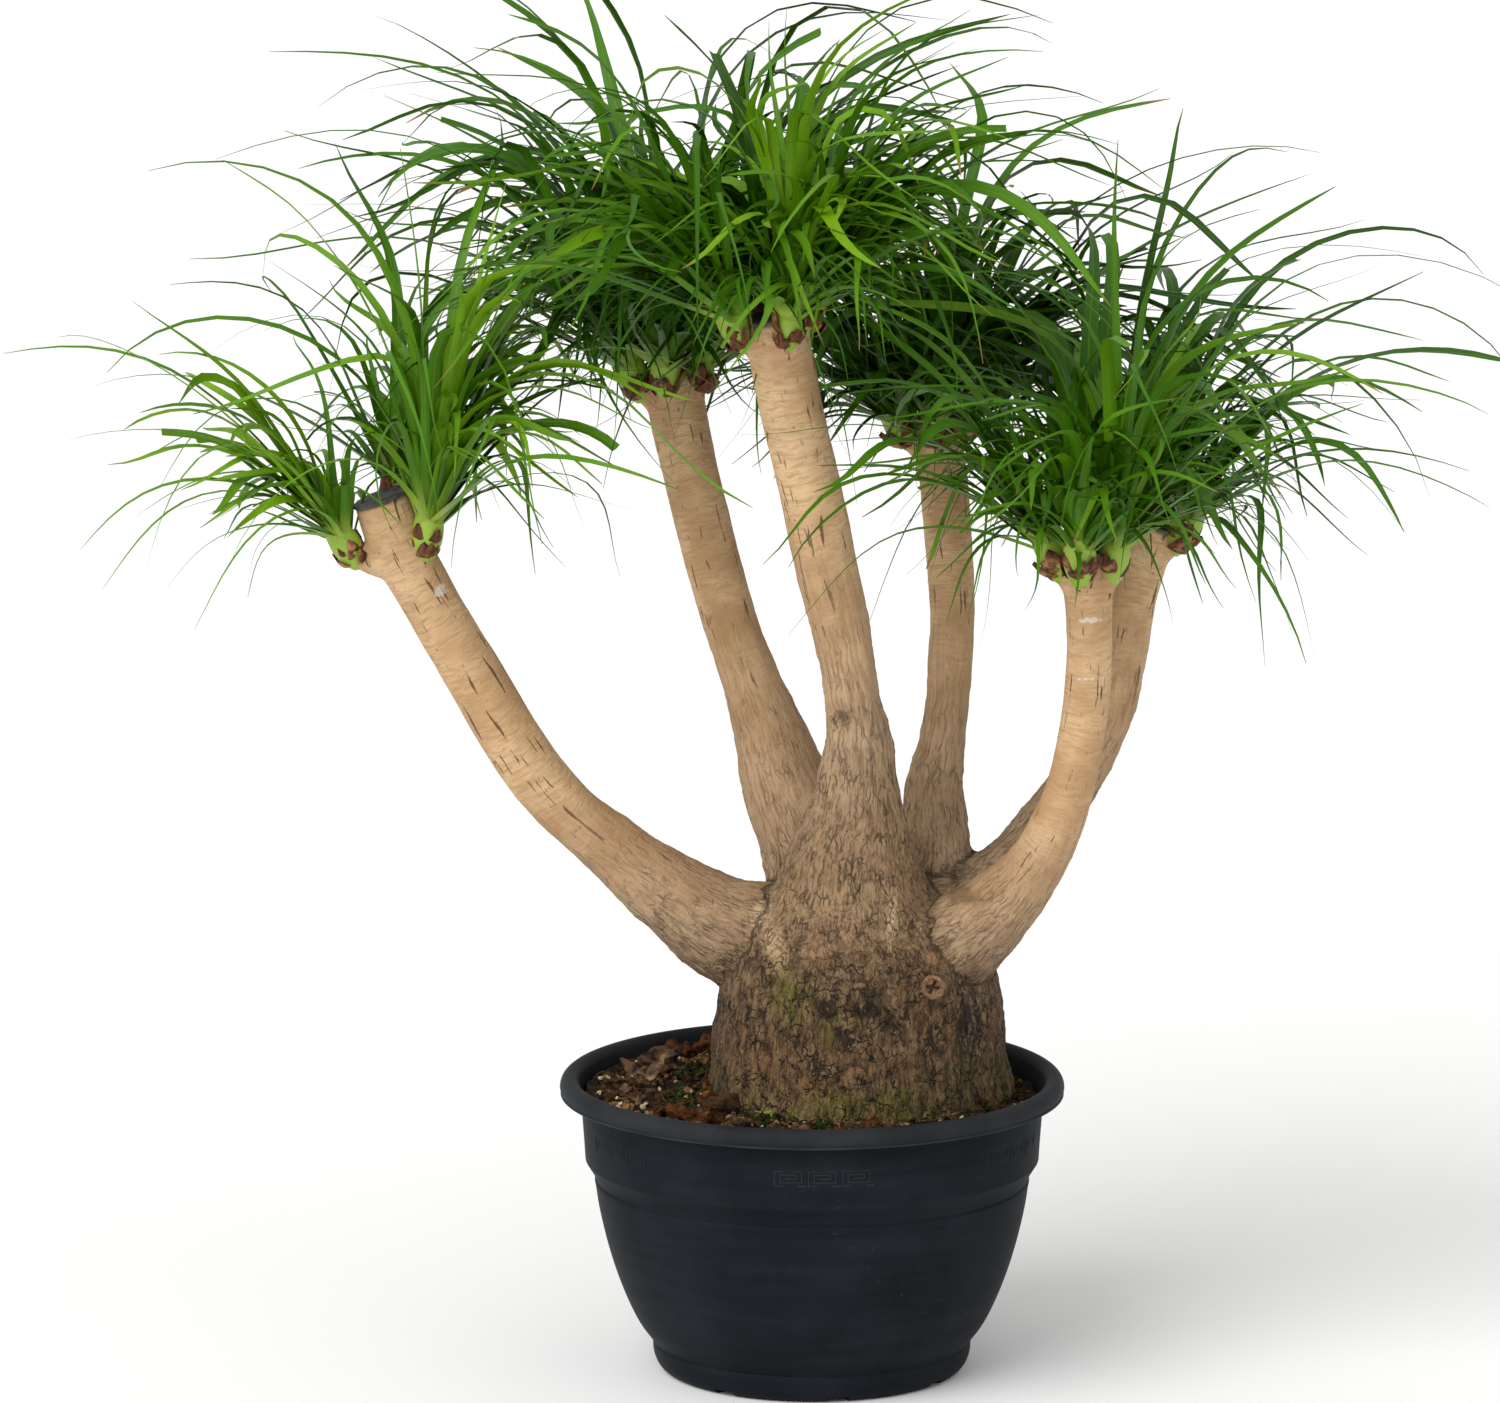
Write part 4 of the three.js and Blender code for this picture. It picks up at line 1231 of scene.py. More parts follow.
@dataclass(frozen=True)
class Scar:
    """A round scar on the bark, found as a knot is: its outline runs from its back to its middle."""

    name: str
    x: float
    z: float
    outline: tuple[Pair, ...]
    hole: float
    cracks: tuple[float, ...] = ()
    ragged: float = 0.12
    sides: int = 40
    # Beyond this reach, and below this height, lies the brim
    brim: Pair = (7.5, 1.6)
    # How much painted shade lies on the brim, where the scar meets the bark
    brim_dark: float = 0.75
    # Reach, width and depth of a crack
    crack_size: Triple = (6, 1.3, 2.2)
    face: float = -5
    uneven: float = 1.1

    def mesh(self) -> tuple[np.ndarray, Faces, np.ndarray]:
        """Its points upright at the origin, its faces, and how dark each point is painted: shade in its hole
        and on its brim, and dark cracks.
        """
        points, faces = turned(self.outline, self.sides)
        dark = np.zeros(len(points))
        reach_most, width, depth = self.crack_size
        for number, point in enumerate(points):
            reach = math.hypot(point[0], point[1])
            dark[number] = math.exp(-((reach / self.hole) ** 6)) if self.hole else 0
            if reach > self.brim[0] and point[2] < self.brim[1]:
                dark[number] = self.brim_dark
            for crack in self.cracks:
                turn = math.radians(crack)
                away = point[0] * math.sin(turn) - point[1] * math.cos(turn)
                if reach < reach_most and point[2] > self.face - 0.9:
                    cut = math.exp(-((away / width) ** 2))
                    point[2] -= depth * cut
                    dark[number] = max(dark[number], cut)
            point[:2] *= 1 + self.ragged * noise.noise(Vector(point) * 0.35)
            if point[2] > self.face:
                point[2] += self.uneven * noise.noise(Vector(point) * 0.5 + Vector((9, 0, 0)))
        return points, faces, dark


class Tint(Enum):
    """What colours a patch of the bark."""

    STAIN = "stain"
    ALGAE = "algae"
    PEELED = "peeled"
    RUSTY = "rusty"
    CHALK = "chalk"


@dataclass(frozen=True)
class Patch:
    """A patch on the trunk's front, at x and z, as wide and as high as its size says."""

    tint: Tint
    x: float
    z: float
    size: Pair


@dataclass
class Trunk:
    """The swollen foot and the six stems, grown as one."""

    voxel: float = 2.9
    smoothing: tuple[float, int] = (0.6, 6)
    sides: int = 40
    # Depth, number and turn, in radians, of the lobes round a stem
    stem_lobes: tuple[Triple, ...] = ((0.02, 2, 1.0), (0.012, 3, 0.0))
    # A collar's radius at its start, inside the stem, and at its end, under the shoot
    collar: Pair = (13, 9)
    collar_drop: float = 22
    seam_width: float = 4
    # Where the painted shade in the seams between stems starts, and over what height it grows
    seam_rise: Pair = (345, 25)
    ragged: float = 9
    foot_blend: float = 44
    ridges: float = 10
    flakes: float = 5
    unevenness: float = 6
    # The dip round a knot: its reach and width in knot sizes, its depth as a share of the rise
    moat: Triple = (1.45, 0.35, 0.3)
    # How far back the tints reach, and over what depth they fade
    facing: Pair = (30, 10)
    knots: tuple[Knot, ...] = (
        Knot("cut_knob", 93.7, 326.3, 12, 5),
        Knot("knot_hole", 22.5, 537, 7.0, -5.5, pit=0.6),
        Knot("knot_hole_lip", 33, 537, 5.0, 2.5, knob=0.25),
        Knot("upper_nub", 93, 346, 6.0, 4.0, knob=0.5),
        Knot("moss_hollow", 46, 322, 9.0, -2.5, pit=0.6),
        Knot("moss_hollow_low", 58, 300, 10.0, -2.0, pit=0.5),
        Knot("left_boss", 3, 352, 13.0, 3.0, knob=0.45),
        Knot("stub_flake", 135, 397, 4.5, 3.0, knob=0.3),
        Knot("flap", 74, 317, 5.0, 3.2),
        Knot("flap_low", 80, 308, 4.2, 3.0),
        Knot("flap_near", 81, 332, 3.8, 2.4),
    )
    patches: tuple[Patch, ...] = (
        Patch(Tint.PEELED, -28, 350, (13, 22)),
        Patch(Tint.PEELED, -40, 372, (9, 12)),
        Patch(Tint.PEELED, 62, 372, (5, 26)),
        Patch(Tint.ALGAE, -16, 316, (26, 26)),
        Patch(Tint.ALGAE, 18, 300, (22, 16)),
        Patch(Tint.ALGAE, 24, 236, (30, 17)),
        Patch(Tint.ALGAE, 64, 236, (26, 20)),
        Patch(Tint.ALGAE, -12, 228, (24, 10)),
        Patch(Tint.ALGAE, 118, 250, (14, 26)),
        Patch(Tint.STAIN, 9, 311, (11, 14)),
        Patch(Tint.STAIN, 27, 290, (13, 17)),
        Patch(Tint.STAIN, 40, 312, (22, 7)),
        # Darker right side of the foot: painted shade with a stain
        Patch(Tint.STAIN, 124, 290, (16, 40)),
        Patch(Tint.STAIN, 96, 290, (9, 16)),
        Patch(Tint.STAIN, 116, 394, (18, 9)),
        Patch(Tint.RUSTY, -34, 266, (34, 24)),
        Patch(Tint.RUSTY, 30, 262, (24, 12)),
        Patch(Tint.RUSTY, -6, 250, (30, 14)),
        Patch(Tint.CHALK, 215, 620, (20, 3.5)),
        Patch(Tint.CHALK, 214, 573, (20, 2.5)),
        Patch(Tint.CHALK, -291, 632, (8, 7)),
    )
    scars: tuple[Scar, ...] = (
        Scar("trunk_cut_knob", 93.7, 326.3, (
            (0, -6), (7, -6), (8.6, -2), (9.6, 1.5), (9.5, 4.0), (8.4, 5.4), (7.2, 5.2), (6.4, 4.0),
            (5.2, 3.4), (4.0, 3.5), (2.8, 3.4), (1.6, 3.2), (0, 3.0),
        ), 0, (75, 5), 0.16),
        Scar("trunk_knot_hole", 22.5, 537, (
            (0, -6), (7, -6), (8.6, -1.5), (8.3, 1.0), (7.2, 2.0), (5.8, 1.4), (4.8, 0), (3.6, -2),
            (2, -3), (0, -3.4),
        ), 6.6, (), 0.35),
    )
    guides: dict[str, StemGuide] = field(default_factory=dict)

    def body(self) -> Piece:
        """The foot and the stems joined into one skin by remeshing, with the crotches smoothed."""
        angles = np.arange(self.sides) * 2 * math.pi / self.sides
        level, upright = np.cos(angles)[:, None], np.sin(angles)[:, None]
        swell = 1 + sum(depth * np.sin(many * angles + turn) for depth, many, turn in self.stem_lobes)
        tubes = [
            [
                centre + radius * swell[:, None] * (level * side + upright * front)
                for centre, radius, side, front in zip(guide.centres, guide.radii, guide.side, guide.front)
            ]
            for guide in self.guides.values()
        ]
        for route in self.collars():
            span = unit(route[-1] - route[0])
            side = unit(np.cross((0.1, 1.0, 0.2), span))
            circle = level * side + upright * np.cross(span, side)
            sizes = np.linspace(*self.collar, len(route)) * MM
            tubes.append([centre + size * circle for centre, size in zip(route, sizes)])
        lobes = 1 + sum(depth * np.cos(n * angles - math.radians(turn)) for n, depth, turn in FOOT_LOBES)
        around = np.column_stack([lobes * np.cos(angles), lobes * np.sin(angles)])
        tubes.append([
            np.column_stack([FOOT_AXIS + radius * around, np.full(self.sides, height)]) * MM
            for radius, height in smooth_route(np.array(FOOT_OUTLINE, float), 4)
        ])
        faces: Faces = []
        count = 0
        for tube in tubes:
            faces += lofted(tube, count)
            count += len(tube) * self.sides
        rough = new_piece("trunk", np.concatenate([ring for tube in tubes for ring in tube]), faces)
        remesh = rough.modifiers.new("skin", "REMESH")
        remesh.mode = "VOXEL"
        remesh.voxel_size = self.voxel * MM
        smooth = rough.modifiers.new("crotches", "SMOOTH")
        smooth.factor, smooth.iterations = self.smoothing
        return plain_copy(rough, "trunk")

    def collars(self) -> list[np.ndarray]:
        """The routes of the short woody swellings that carry the shoots, from inside their stems."""
        routes = []
        for shoot in SHOOTS.values():
            end = (np.array(shoot.at) + lean_axis(shoot) * 2) * MM
            guide = min(self.guides.values(), key=lambda stem: np.linalg.norm(stem.centres[-1] - end))
            top, along, drop = guide.centres[-1], guide.along[-1], self.collar_drop * MM
            start = top + along * min(np.dot(end - top, along) - drop, -drop * 0.7)
            middle = start * 0.42 + end * 0.58 - lean_axis(shoot) * 3 * MM
            routes.append(smooth_route(np.array([start, middle, end]), 5))
        return routes

    def mark(self, trunk: Piece) -> None:
        """Stores each point's grain, its place on a straightened stem, and how old its bark is."""
        points = points_of(trunk)
        outline = smooth_route(np.array(FOOT_OUTLINE, float), 4) * MM
        axis = np.array(FOOT_AXIS) * MM
        foot_radius = np.interp(points[:, 2], outline[:, 1], outline[:, 0])
        gap = np.hypot(*(points[:, :2] - axis).T) - foot_radius
        second = np.full(len(points), np.inf)
        branch = np.full(len(points), np.inf)
        grain = points - self.guides["front"].centres[0] * (1, 1, 0)
        age = np.ones(len(points))
        ragged = np.array([noise.noise(Vector(point) * 55) for point in points]) * self.ragged * MM
        for name, (old, young) in BARK_TURNS.items():
            guide = self.guides[name]
            nearest, distance = self.nearest_step(guide, points)
            closer = distance + ragged < gap
            near = nearest[closer]
            offset = points[closer] - guide.centres[near]
            ahead = (offset * guide.along[near]).sum(1)
            aside, before = (offset * guide.side[near]).sum(1), (offset * guide.front[near]).sum(1)
            grain[closer] = np.column_stack([aside, before, guide.run[near] + ahead])
            age[closer] = (young - points[closer, 2] / MM) / (young - old)
            if name == "front":
                root_gap = np.minimum(gap, distance)
            else:
                second = np.minimum(second, np.maximum(gap, distance))
                branch = np.minimum(branch, distance)
            gap = np.minimum(gap, distance)
        # Painted shade along the seams where two stems meet
        seam = np.exp(-(((second - gap) / (self.seam_width * MM)) ** 2))
        start, fade = self.seam_rise
        give_attribute(trunk, "seam", seam * np.clip((points[:, 2] / MM - start) / fade, 0, 1))
        give_attribute(trunk, "grain", grain)
        give_attribute(trunk, "age", np.clip(age, 0, 1))
        give_attribute(trunk, "foot", np.clip(0.5 + (branch - root_gap) / (self.foot_blend * MM), 0, 1))

    @staticmethod
    def nearest_step(guide: StemGuide, points: np.ndarray) -> tuple[np.ndarray, np.ndarray]:
        """For each point, the guide's nearest step and the distance to its stem's skin."""
        best = np.full(len(points), np.inf)
        nearest = np.zeros(len(points), int)
        for number, centre in enumerate(guide.centres):
            distance = np.linalg.norm(points - centre, axis=1) - guide.radii[number]
            closer = distance < best
            best = np.where(closer, distance, best)
            nearest[closer] = number
        return nearest, best

    def relief(self) -> Growth:
        """Moves the skin in and out along its normal, by upright ridges and flakes where the bark is old, and
        a gentle unevenness everywhere.
        """
        tree = Growth("bark_relief", {"Ridges": float, "Flakes": float, "Unevenness": float})
        grain = tree.stored("grain", "FLOAT_VECTOR")
        age = tree.stored("age")
        place = tree.add("GeometryNodeInputPosition")
        ridges = tree.noise(tree.stretched(grain, (36, 36, 9)), 1, 4, 0.6, 0.6) - 0.5
        flaky = tree.stretched(tree.warped(grain, 40, 0.03), (130, 130, 50))
        flakes = tree.noise(flaky, 1, 5, 0.7) - 0.5
        uneven = tree.noise(place, 26, 2, 0.5) - 0.5
        height = (
            ridges * tree.given("Ridges") * age + flakes * tree.given("Flakes") * age
            + uneven * tree.given("Unevenness") * (0.35 + age)
        )
        normal = tree.add("GeometryNodeInputNormal")
        offset = tree.add("ShaderNodeVectorMath", {"operation": "SCALE"}, {0: normal, "Scale": height})
        lifted = {"Geometry": tree.given("Mesh"), "Offset": offset}
        tree.close(tree.add("GeometryNodeSetPosition", None, lifted))
        return tree

    @staticmethod
    def seen(trunk: Piece, marks: Iterable[Knot | Scar]) -> list[tuple[Vector, Vector]]:
        """Where each mark's line of sight from the front meets the bark, and the bark's normal there."""
        tree = BVHTree.FromObject(trunk, bpy.context.evaluated_depsgraph_get())
        return [tree.ray_cast(Vector((mark.x * MM, -1, mark.z * MM)), FROM_FRONT)[:2] for mark in marks]

    def add_knots(self, trunk: Piece) -> None:
        """Raises or sinks the skin round each knot, and stores where knobs are and how much painted shade
        lies in pits and in the dips round knobs.
        """
        points = points_of(trunk)
        pit = np.zeros(len(points))
        knob = np.zeros(len(points))
        away, width, depth = self.moat
        for knot, (spot, normal) in zip(self.knots, self.seen(trunk, self.knots)):
            reach = np.linalg.norm(points - np.array(spot), axis=1) / (knot.size * MM)
            dome = np.exp(-(reach**4))
            moat = np.exp(-(((reach - away) / width) ** 2))
            rise = (dome * knot.rise - moat * abs(knot.rise) * depth) * MM
            points += np.array(normal) * rise[:, None]
            # Painted shade in a knot's pit, and in the dip round a knob
            pit = np.maximum(pit, dome * knot.pit + moat * 0.45 * knot.knob)
            knob = np.maximum(knob, dome * knot.knob)
        set_points(trunk, points)
        give_attribute(trunk, "pit", np.clip(pit, 0, 1))
        give_attribute(trunk, "knob", np.clip(knob, 0, 1))

    def tint(self, trunk: Piece) -> None:
        """Stores how much of each tint lies on each point of the trunk's front."""
        x, y, z = points_of(trunk).T / MM
        depth, fade = self.facing
        facing = 1 / (1 + np.exp((y - depth) / fade))
        for tint in Tint:
            share = np.zeros(len(x))
            for patch in self.patches:
                if patch.tint is tint:
                    wide, high = patch.size
                    reach = ((x - patch.x) / wide) ** 2 + ((z - patch.z) / high) ** 2
                    share = np.maximum(share, np.exp(-reach))
            give_attribute(trunk, tint.value, share * facing)

    def build(self) -> None:
        """Makes the trunk and the scars on it."""
        self.guides = {name: StemGuide.through(stations) for name, stations in STEMS.items()}
        trunk = self.body()
        self.mark(trunk)
        values = {
            "Ridges": self.ridges * MM, "Flakes": self.flakes * MM, "Unevenness": self.unevenness * MM,
            "Finish": BARK.material(),
        }
        trunk = self.relief().run(trunk, "trunk_bark", values)
        self.add_knots(trunk)
        self.tint(trunk)
        trunk.data.shade_smooth()
        dress(trunk, BARK, "trunk")
        for scar, (spot, normal) in zip(self.scars, self.seen(trunk, self.scars)):
            points, faces, dark = scar.mesh()
            turn = upright_to((normal - FROM_FRONT * 0.8 + Vector((0, 0, 0.1))).normalized())
            piece = new_piece(scar.name, points * MM @ turn.T + np.array(spot), faces)
            # The scar's painted shade and dark cracks
            give_attribute(piece, "pit", dark)
            give_attribute(piece, "grain", points * MM)
            for name, value in (("knob", 0.55 if scar.cracks else 0.1), ("age", 0.75), ("foot", 1.0)):
                give_attribute(piece, name, np.full(len(points), value))
            dress(piece, BARK, sharp=60)


@dataclass
class Seals:
    """The dried sealant on each stem's cut top."""

    thickness: float = 2.6
    overhang: float = 1.2
    sides: int = 48
    # In width, as a share, and in height
    uneven: Pair = (0.05, 1.1)

    def build(self) -> None:
        """Makes one cap for each stem, square to it, with an uneven brim."""
        for number, (name, stations) in enumerate(STEMS.items()):
            top = np.array(stations[-1][:3], float)
            points, faces = self.cap(stations[-1][3], number)
            turn = upright_to(Vector(top - np.array(stations[-2][:3])).normalized())
            cap = new_piece(f"sealant_{name}", (points @ turn.T + top) * MM, faces)
            dress(cap, SEALANT, f"seal_{name}", sharp=50)

    def cap(self, radius: float, number: int) -> tuple[np.ndarray, Faces]:
        """A cap's points and faces, upright at the origin."""
        brim, top = radius + self.overhang, self.thickness
        points, faces = turned([
            (0, 0.4), (radius * 0.6, 0.4), (brim - 1.5, -0.8), (brim, -0.6), (brim + 0.3, 0.6),
            (brim - 0.4, 1.8), (brim - 2.5, top), (radius * 0.62, top - 0.9), (radius * 0.3, top - 1.3),
            (0, top - 1.2),
        ], self.sides)
        wider, higher = self.uneven
        for point in points:
            shift = noise.noise(Vector((*(point[:2] * 0.14), number * 7.0)))
            point[:2] *= 1 + wider * shift
            point[2] += higher * shift * math.hypot(point[0], point[1]) / radius
        return points, faces


# ---------------------------------------------------------------------------------------- leaves


def scrambled(number: int) -> int:
    """Scrambles a whole number into one of 32 bits: it folds high bits down and multiplies."""
    mask = 0xFFFFFFFF
    number &= mask
    mixed = ((number ^ (number >> 15)) * 2246822519) & mask
    mixed = ((mixed ^ (mixed >> 13)) * 3266489917) & mask
    return mixed ^ (mixed >> 16)


def drawn(shoot_number: int, leaf: int, trait: str) -> float:
    """A trait of a leaf, drawn evenly between its bounds and always the same for the same leaf.

    Args:
        shoot_number: the shoot's place in SHOOTS.
        leaf: the leaf's number.
        trait: a name in LEAF_DRAWS.

    Returns:
        The value drawn.
    """
    least, most = LEAF_DRAWS[trait]
    key = 0
    for number, prime in zip((shoot_number, leaf, TRAITS.index(trait)), (73856093, 19349663, 83492791)):
        key ^= (number + 1) * prime
    return least + (most - least) * scrambled(key) / 2**32


@dataclass
class Leaves:
    """The shoots' leaves: long strap blades that rise from a shoot's heart and arch over."""

    width: float = 16.5
    steps: int = 14
    channel: float = 0.34
    thickness: float = 0.05
    root_heights: Pair = (12, 36)
    root_offset: float = 4
    inward_power: float = 1.25
    inward_length: float = 0.08
    lengths: Pair = (0.42, 1.16)
    length_power: float = 2.1
    stiff: float = 0.3
    cut_share: float = 0.07
    outer_width: float = 0.5
    long_width: float = 0.66
    cut_to: float = 0.7
    wander: float = 22
    half_waves: float = 2.2
    wander_rise: float = 0.7
    turn_power: float = 1.4
    droop_power: float = 1.6
    root_roll: float = 0.4
    # For a shoot's outermost leaf and for its innermost one
    taper_power: Pair = (1.4, 0.55)
    # How much narrower a leaf is at its root, and over which share of its length
    waist: Pair = (0.2, 0.05)
    tip: float = 0.04
    # For a shoot's outermost leaf and for its innermost one
    youth: Pair = (0.55, 1.45)

    def root_height(self, share: float) -> float:
        """How far along its shoot's axis a leaf is rooted: the more upright, the higher."""
        return between(self.root_heights, share)

    def drawn_length(self, number: int, leaf: int) -> float:
        """A leaf's length as a share of its shoot's, mostly nearer the shortest than the longest."""
        return between(self.lengths, drawn(number, leaf, "length") ** self.length_power)

    def drawn_habit(self, shoot: Shoot, number: int, leaf: int) -> dict[str, float]:
        """The habit of one drawn leaf: outer leaves lie low and droop, inner ones stand up.

        Args:
            shoot: the leaf's shoot.
            number: the shoot's place in SHOOTS.
            leaf: the leaf's number, from the outermost.

        Returns:
            A value for each trait that isn't drawn alone.
        """
        inward = leaf / (shoot.leaves - 1)
        aside = shoot.spread * (1 - inward) ** self.inward_power + drawn(number, leaf, "aside")
        around = leaf * GOLDEN_ANGLE + drawn(number, leaf, "around")
        turn = Vector((0, 0, 1)).rotation_difference(Vector(lean_axis(shoot)))
        start = turn @ Vector(compass(np.array(around), np.array(90 - aside)))
        rise = max(math.degrees(math.asin(start.z)), drawn(number, leaf, "lowest_rise"))
        droop = rise * drawn(number, leaf, "droop") + drawn(number, leaf, "more_droop")
        return {
            "angle": math.degrees(math.atan2(start.y, start.x)),
            "rise": rise,
            "droop": droop * (1 - self.stiff * inward),
            "sweep": drawn(number, leaf, "sweep"),
            "length": shoot.length * (self.inward_length * inward + self.drawn_length(number, leaf)),
            "height": self.root_height(inward),
            "inward": inward,
        }

    def habits(self, shoot: Shoot, number: int) -> dict[str, np.ndarray]:
        """Every leaf of a shoot, the long ones first, as a column for each trait."""
        keys = ("angle", "rise", "droop", "sweep", "length")
        rows = [
            dict(zip(keys, leaf)) | {"height": self.root_height(leaf[1] / 90), "inward": 0.5}
            for leaf in shoot.long
        ]
        rows += [self.drawn_habit(shoot, number, leaf) for leaf in range(shoot.leaves)]
        for leaf, row in enumerate(rows):
            is_long = leaf < len(shoot.long)
            row |= {trait: drawn(number, leaf, trait) for trait in TRAITS if trait not in row}
            row["width"] *= self.long_width if is_long else between((self.outer_width, 1), row["inward"])
            row["arching"] = float(is_long)
            row["cut"] = 1.0 if is_long or row["cut"] > self.cut_share else self.cut_to
        return {key: np.array([row[key] for row in rows]) for key in rows[0]}

    def lines(self, shoot: Shoot, number: int) -> Piece:
        """The leaves' middle lines as edges, with what the blades need stored on their points."""
        leaf = {key: values[:, None] for key, values in self.habits(shoot, number).items()}
        place = np.linspace(0, 1, 2 * self.steps + 1)[None] * leaf["cut"]
        wave = np.sin(leaf["wave"] + self.half_waves * math.pi * place) * place**1.5 * self.wander
        bent = np.clip((place - leaf["bend"]) / leaf["fold"] + 0.5, 0, 1)
        folded = (1 - leaf["arching"]) * bent**2 * (3 - 2 * bent)
        turned_by = leaf["arching"] * place**self.turn_power + folded
        drooped_by = leaf["arching"] * place**self.droop_power + folded
        along = compass(
            leaf["angle"] + leaf["sweep"] * turned_by + wave,
            leaf["rise"] - leaf["droop"] * drooped_by + wave * np.cos(leaf["wave"]) * self.wander_rise,
        )
        outward = compass(leaf["angle"], np.zeros_like(leaf["angle"]))[:, 0]
        root = np.array(shoot.at) + lean_axis(shoot) * leaf["height"] + outward * self.root_offset
        stride = (leaf["length"] * leaf["cut"] / (2 * self.steps))[..., None]
        walked = np.cumsum(along[:, :-1] * stride, axis=1)
        points = np.concatenate([root[:, None], root[:, None] + walked], axis=1)[:, ::2]
        along, place = along[:, ::2], place[:, ::2]
        level = unit(np.stack([-along[..., 1], along[..., 0], np.zeros_like(place)], -1))
        roll = np.radians(leaf["roll"] * (self.root_roll + place) + leaf["twist"] * place**2)[..., None]
        across = level * np.cos(roll) + np.cross(along, level) * np.sin(roll)
        deep, near = self.waist
        taper = np.clip(1 - place, 0, 1) ** between(self.taper_power, leaf["inward"])
        taper = taper * (1 - deep * np.exp(-place / near)) + self.tip
        # The shoot's youth with its painted light, rising towards the innermost leaves
        youth = np.clip(shoot.youth * between(self.youth, leaf["inward"]), 0, 1)
        count = self.steps + 1
        starts = range(0, len(points) * count, count)
        edges = [(first + step, first + step + 1) for first in starts for step in range(self.steps)]
        base = new_piece("lines", points.reshape(-1, 3) * MM, [], edges)
        give_attribute(base, "across_way", across.reshape(-1, 3))
        stored = {
            "half": self.width * leaf["width"] * taper / 2 * MM, "out": place,
            "tone": leaf["tone"], "youth": youth,
        }
        for name, values in stored.items():
            give_attribute(base, name, np.broadcast_to(values, place.shape).ravel())
        return base

    def blades(self) -> Growth:
        """Sweeps a thin open channel along each line, as wide as the line's points say."""
        tree = Growth("strap_blades", {"Channel": float, "Thickness": float})
        high, low = tree.given("Channel"), 0 - tree.given("Thickness")
        points = {
            "Point 1": tree.joined(X=-1.0, Y=high), "Point 2": tree.joined(Y=low),
            "Point 3": tree.joined(X=1.0, Y=high), "Point 4": tree.joined(Y=tree.given("Thickness")),
        }
        section = tree.add("GeometryNodeCurvePrimitiveQuadrilateral", {"mode": "POINTS"}, points)
        aside = tree.part(tree.add("GeometryNodeInputPosition"), "X")
        section = tree.add(
            "GeometryNodeStoreNamedAttribute", {"data_type": "FLOAT", "domain": "POINT"},
            {"Geometry": section, "Name": "across", "Value": aside},
        )
        curve = tree.add("GeometryNodeMeshToCurve", None, {"Mesh": tree.given("Mesh")})
        facing = {"Curve": curve, "Normal": tree.stored("across_way", "FLOAT_VECTOR")}
        curve = tree.add("GeometryNodeSetCurveNormal", {"mode": "FREE"}, facing)
        sweep = {"Curve": curve, "Profile Curve": section, "Scale": tree.stored("half"), "Fill Caps": True}
        tree.close(tree.add("GeometryNodeCurveToMesh", None, sweep))
        return tree

    def build(self) -> None:
        """Makes one piece of leaves for each shoot."""
        tree = self.blades()
        values = {"Channel": self.channel, "Thickness": self.thickness, "Finish": LEAF.material()}
        for number, (name, shoot) in enumerate(SHOOTS.items()):
            leaves = tree.run(self.lines(shoot, number), f"leaves_{name}", values)
            dress(leaves, LEAF, f"shoot_{name}", sharp=60)


@dataclass
class Planted:
    """Copies of one small shape, each set at a point with its own turn and size."""

    tree: Growth | None = None

    def make_tree(self) -> Growth:
        """The tree that sets the copies."""
        tree = Growth("planted", {"Shape": Piece})
        shape = tree.add("GeometryNodeObjectInfo", None, {"Object": tree.given("Shape")}, "Geometry")
        rotation = tree.add("FunctionNodeEulerToRotation", None, {0: tree.stored("turn", "FLOAT_VECTOR")})
        size = tree.stored("size", "FLOAT_VECTOR")
        copies = {"Points": tree.given("Mesh"), "Instance": shape, "Rotation": rotation, "Scale": size}
        tree.close(tree.add("GeometryNodeInstanceOnPoints", None, copies))
        return tree

    def plant(self, name: str, shape: Piece, spots: list, finish: Finish) -> Piece:
        """Plants copies of a shape.

        Args:
            name: the new piece's name.
            shape: the shape's object, at the origin, in metres; it is removed afterwards.
            spots: for each copy its place in millimetres, its Euler turn and its size along three axes.
            finish: the copies' finish.

        Returns:
            The piece.
        """
        if self.tree is None:
            self.tree = self.make_tree()
        base = new_piece("spots", np.array([place for place, _, _ in spots]) * MM, [])
        give_attribute(base, "turn", np.array([turn for _, turn, _ in spots]))
        give_attribute(base, "size", np.array([size for _, _, size in spots]))
        piece = self.tree.run(base, name, {"Shape": shape, "Finish": finish.material()})
        bpy.data.objects.remove(shape)
        return piece


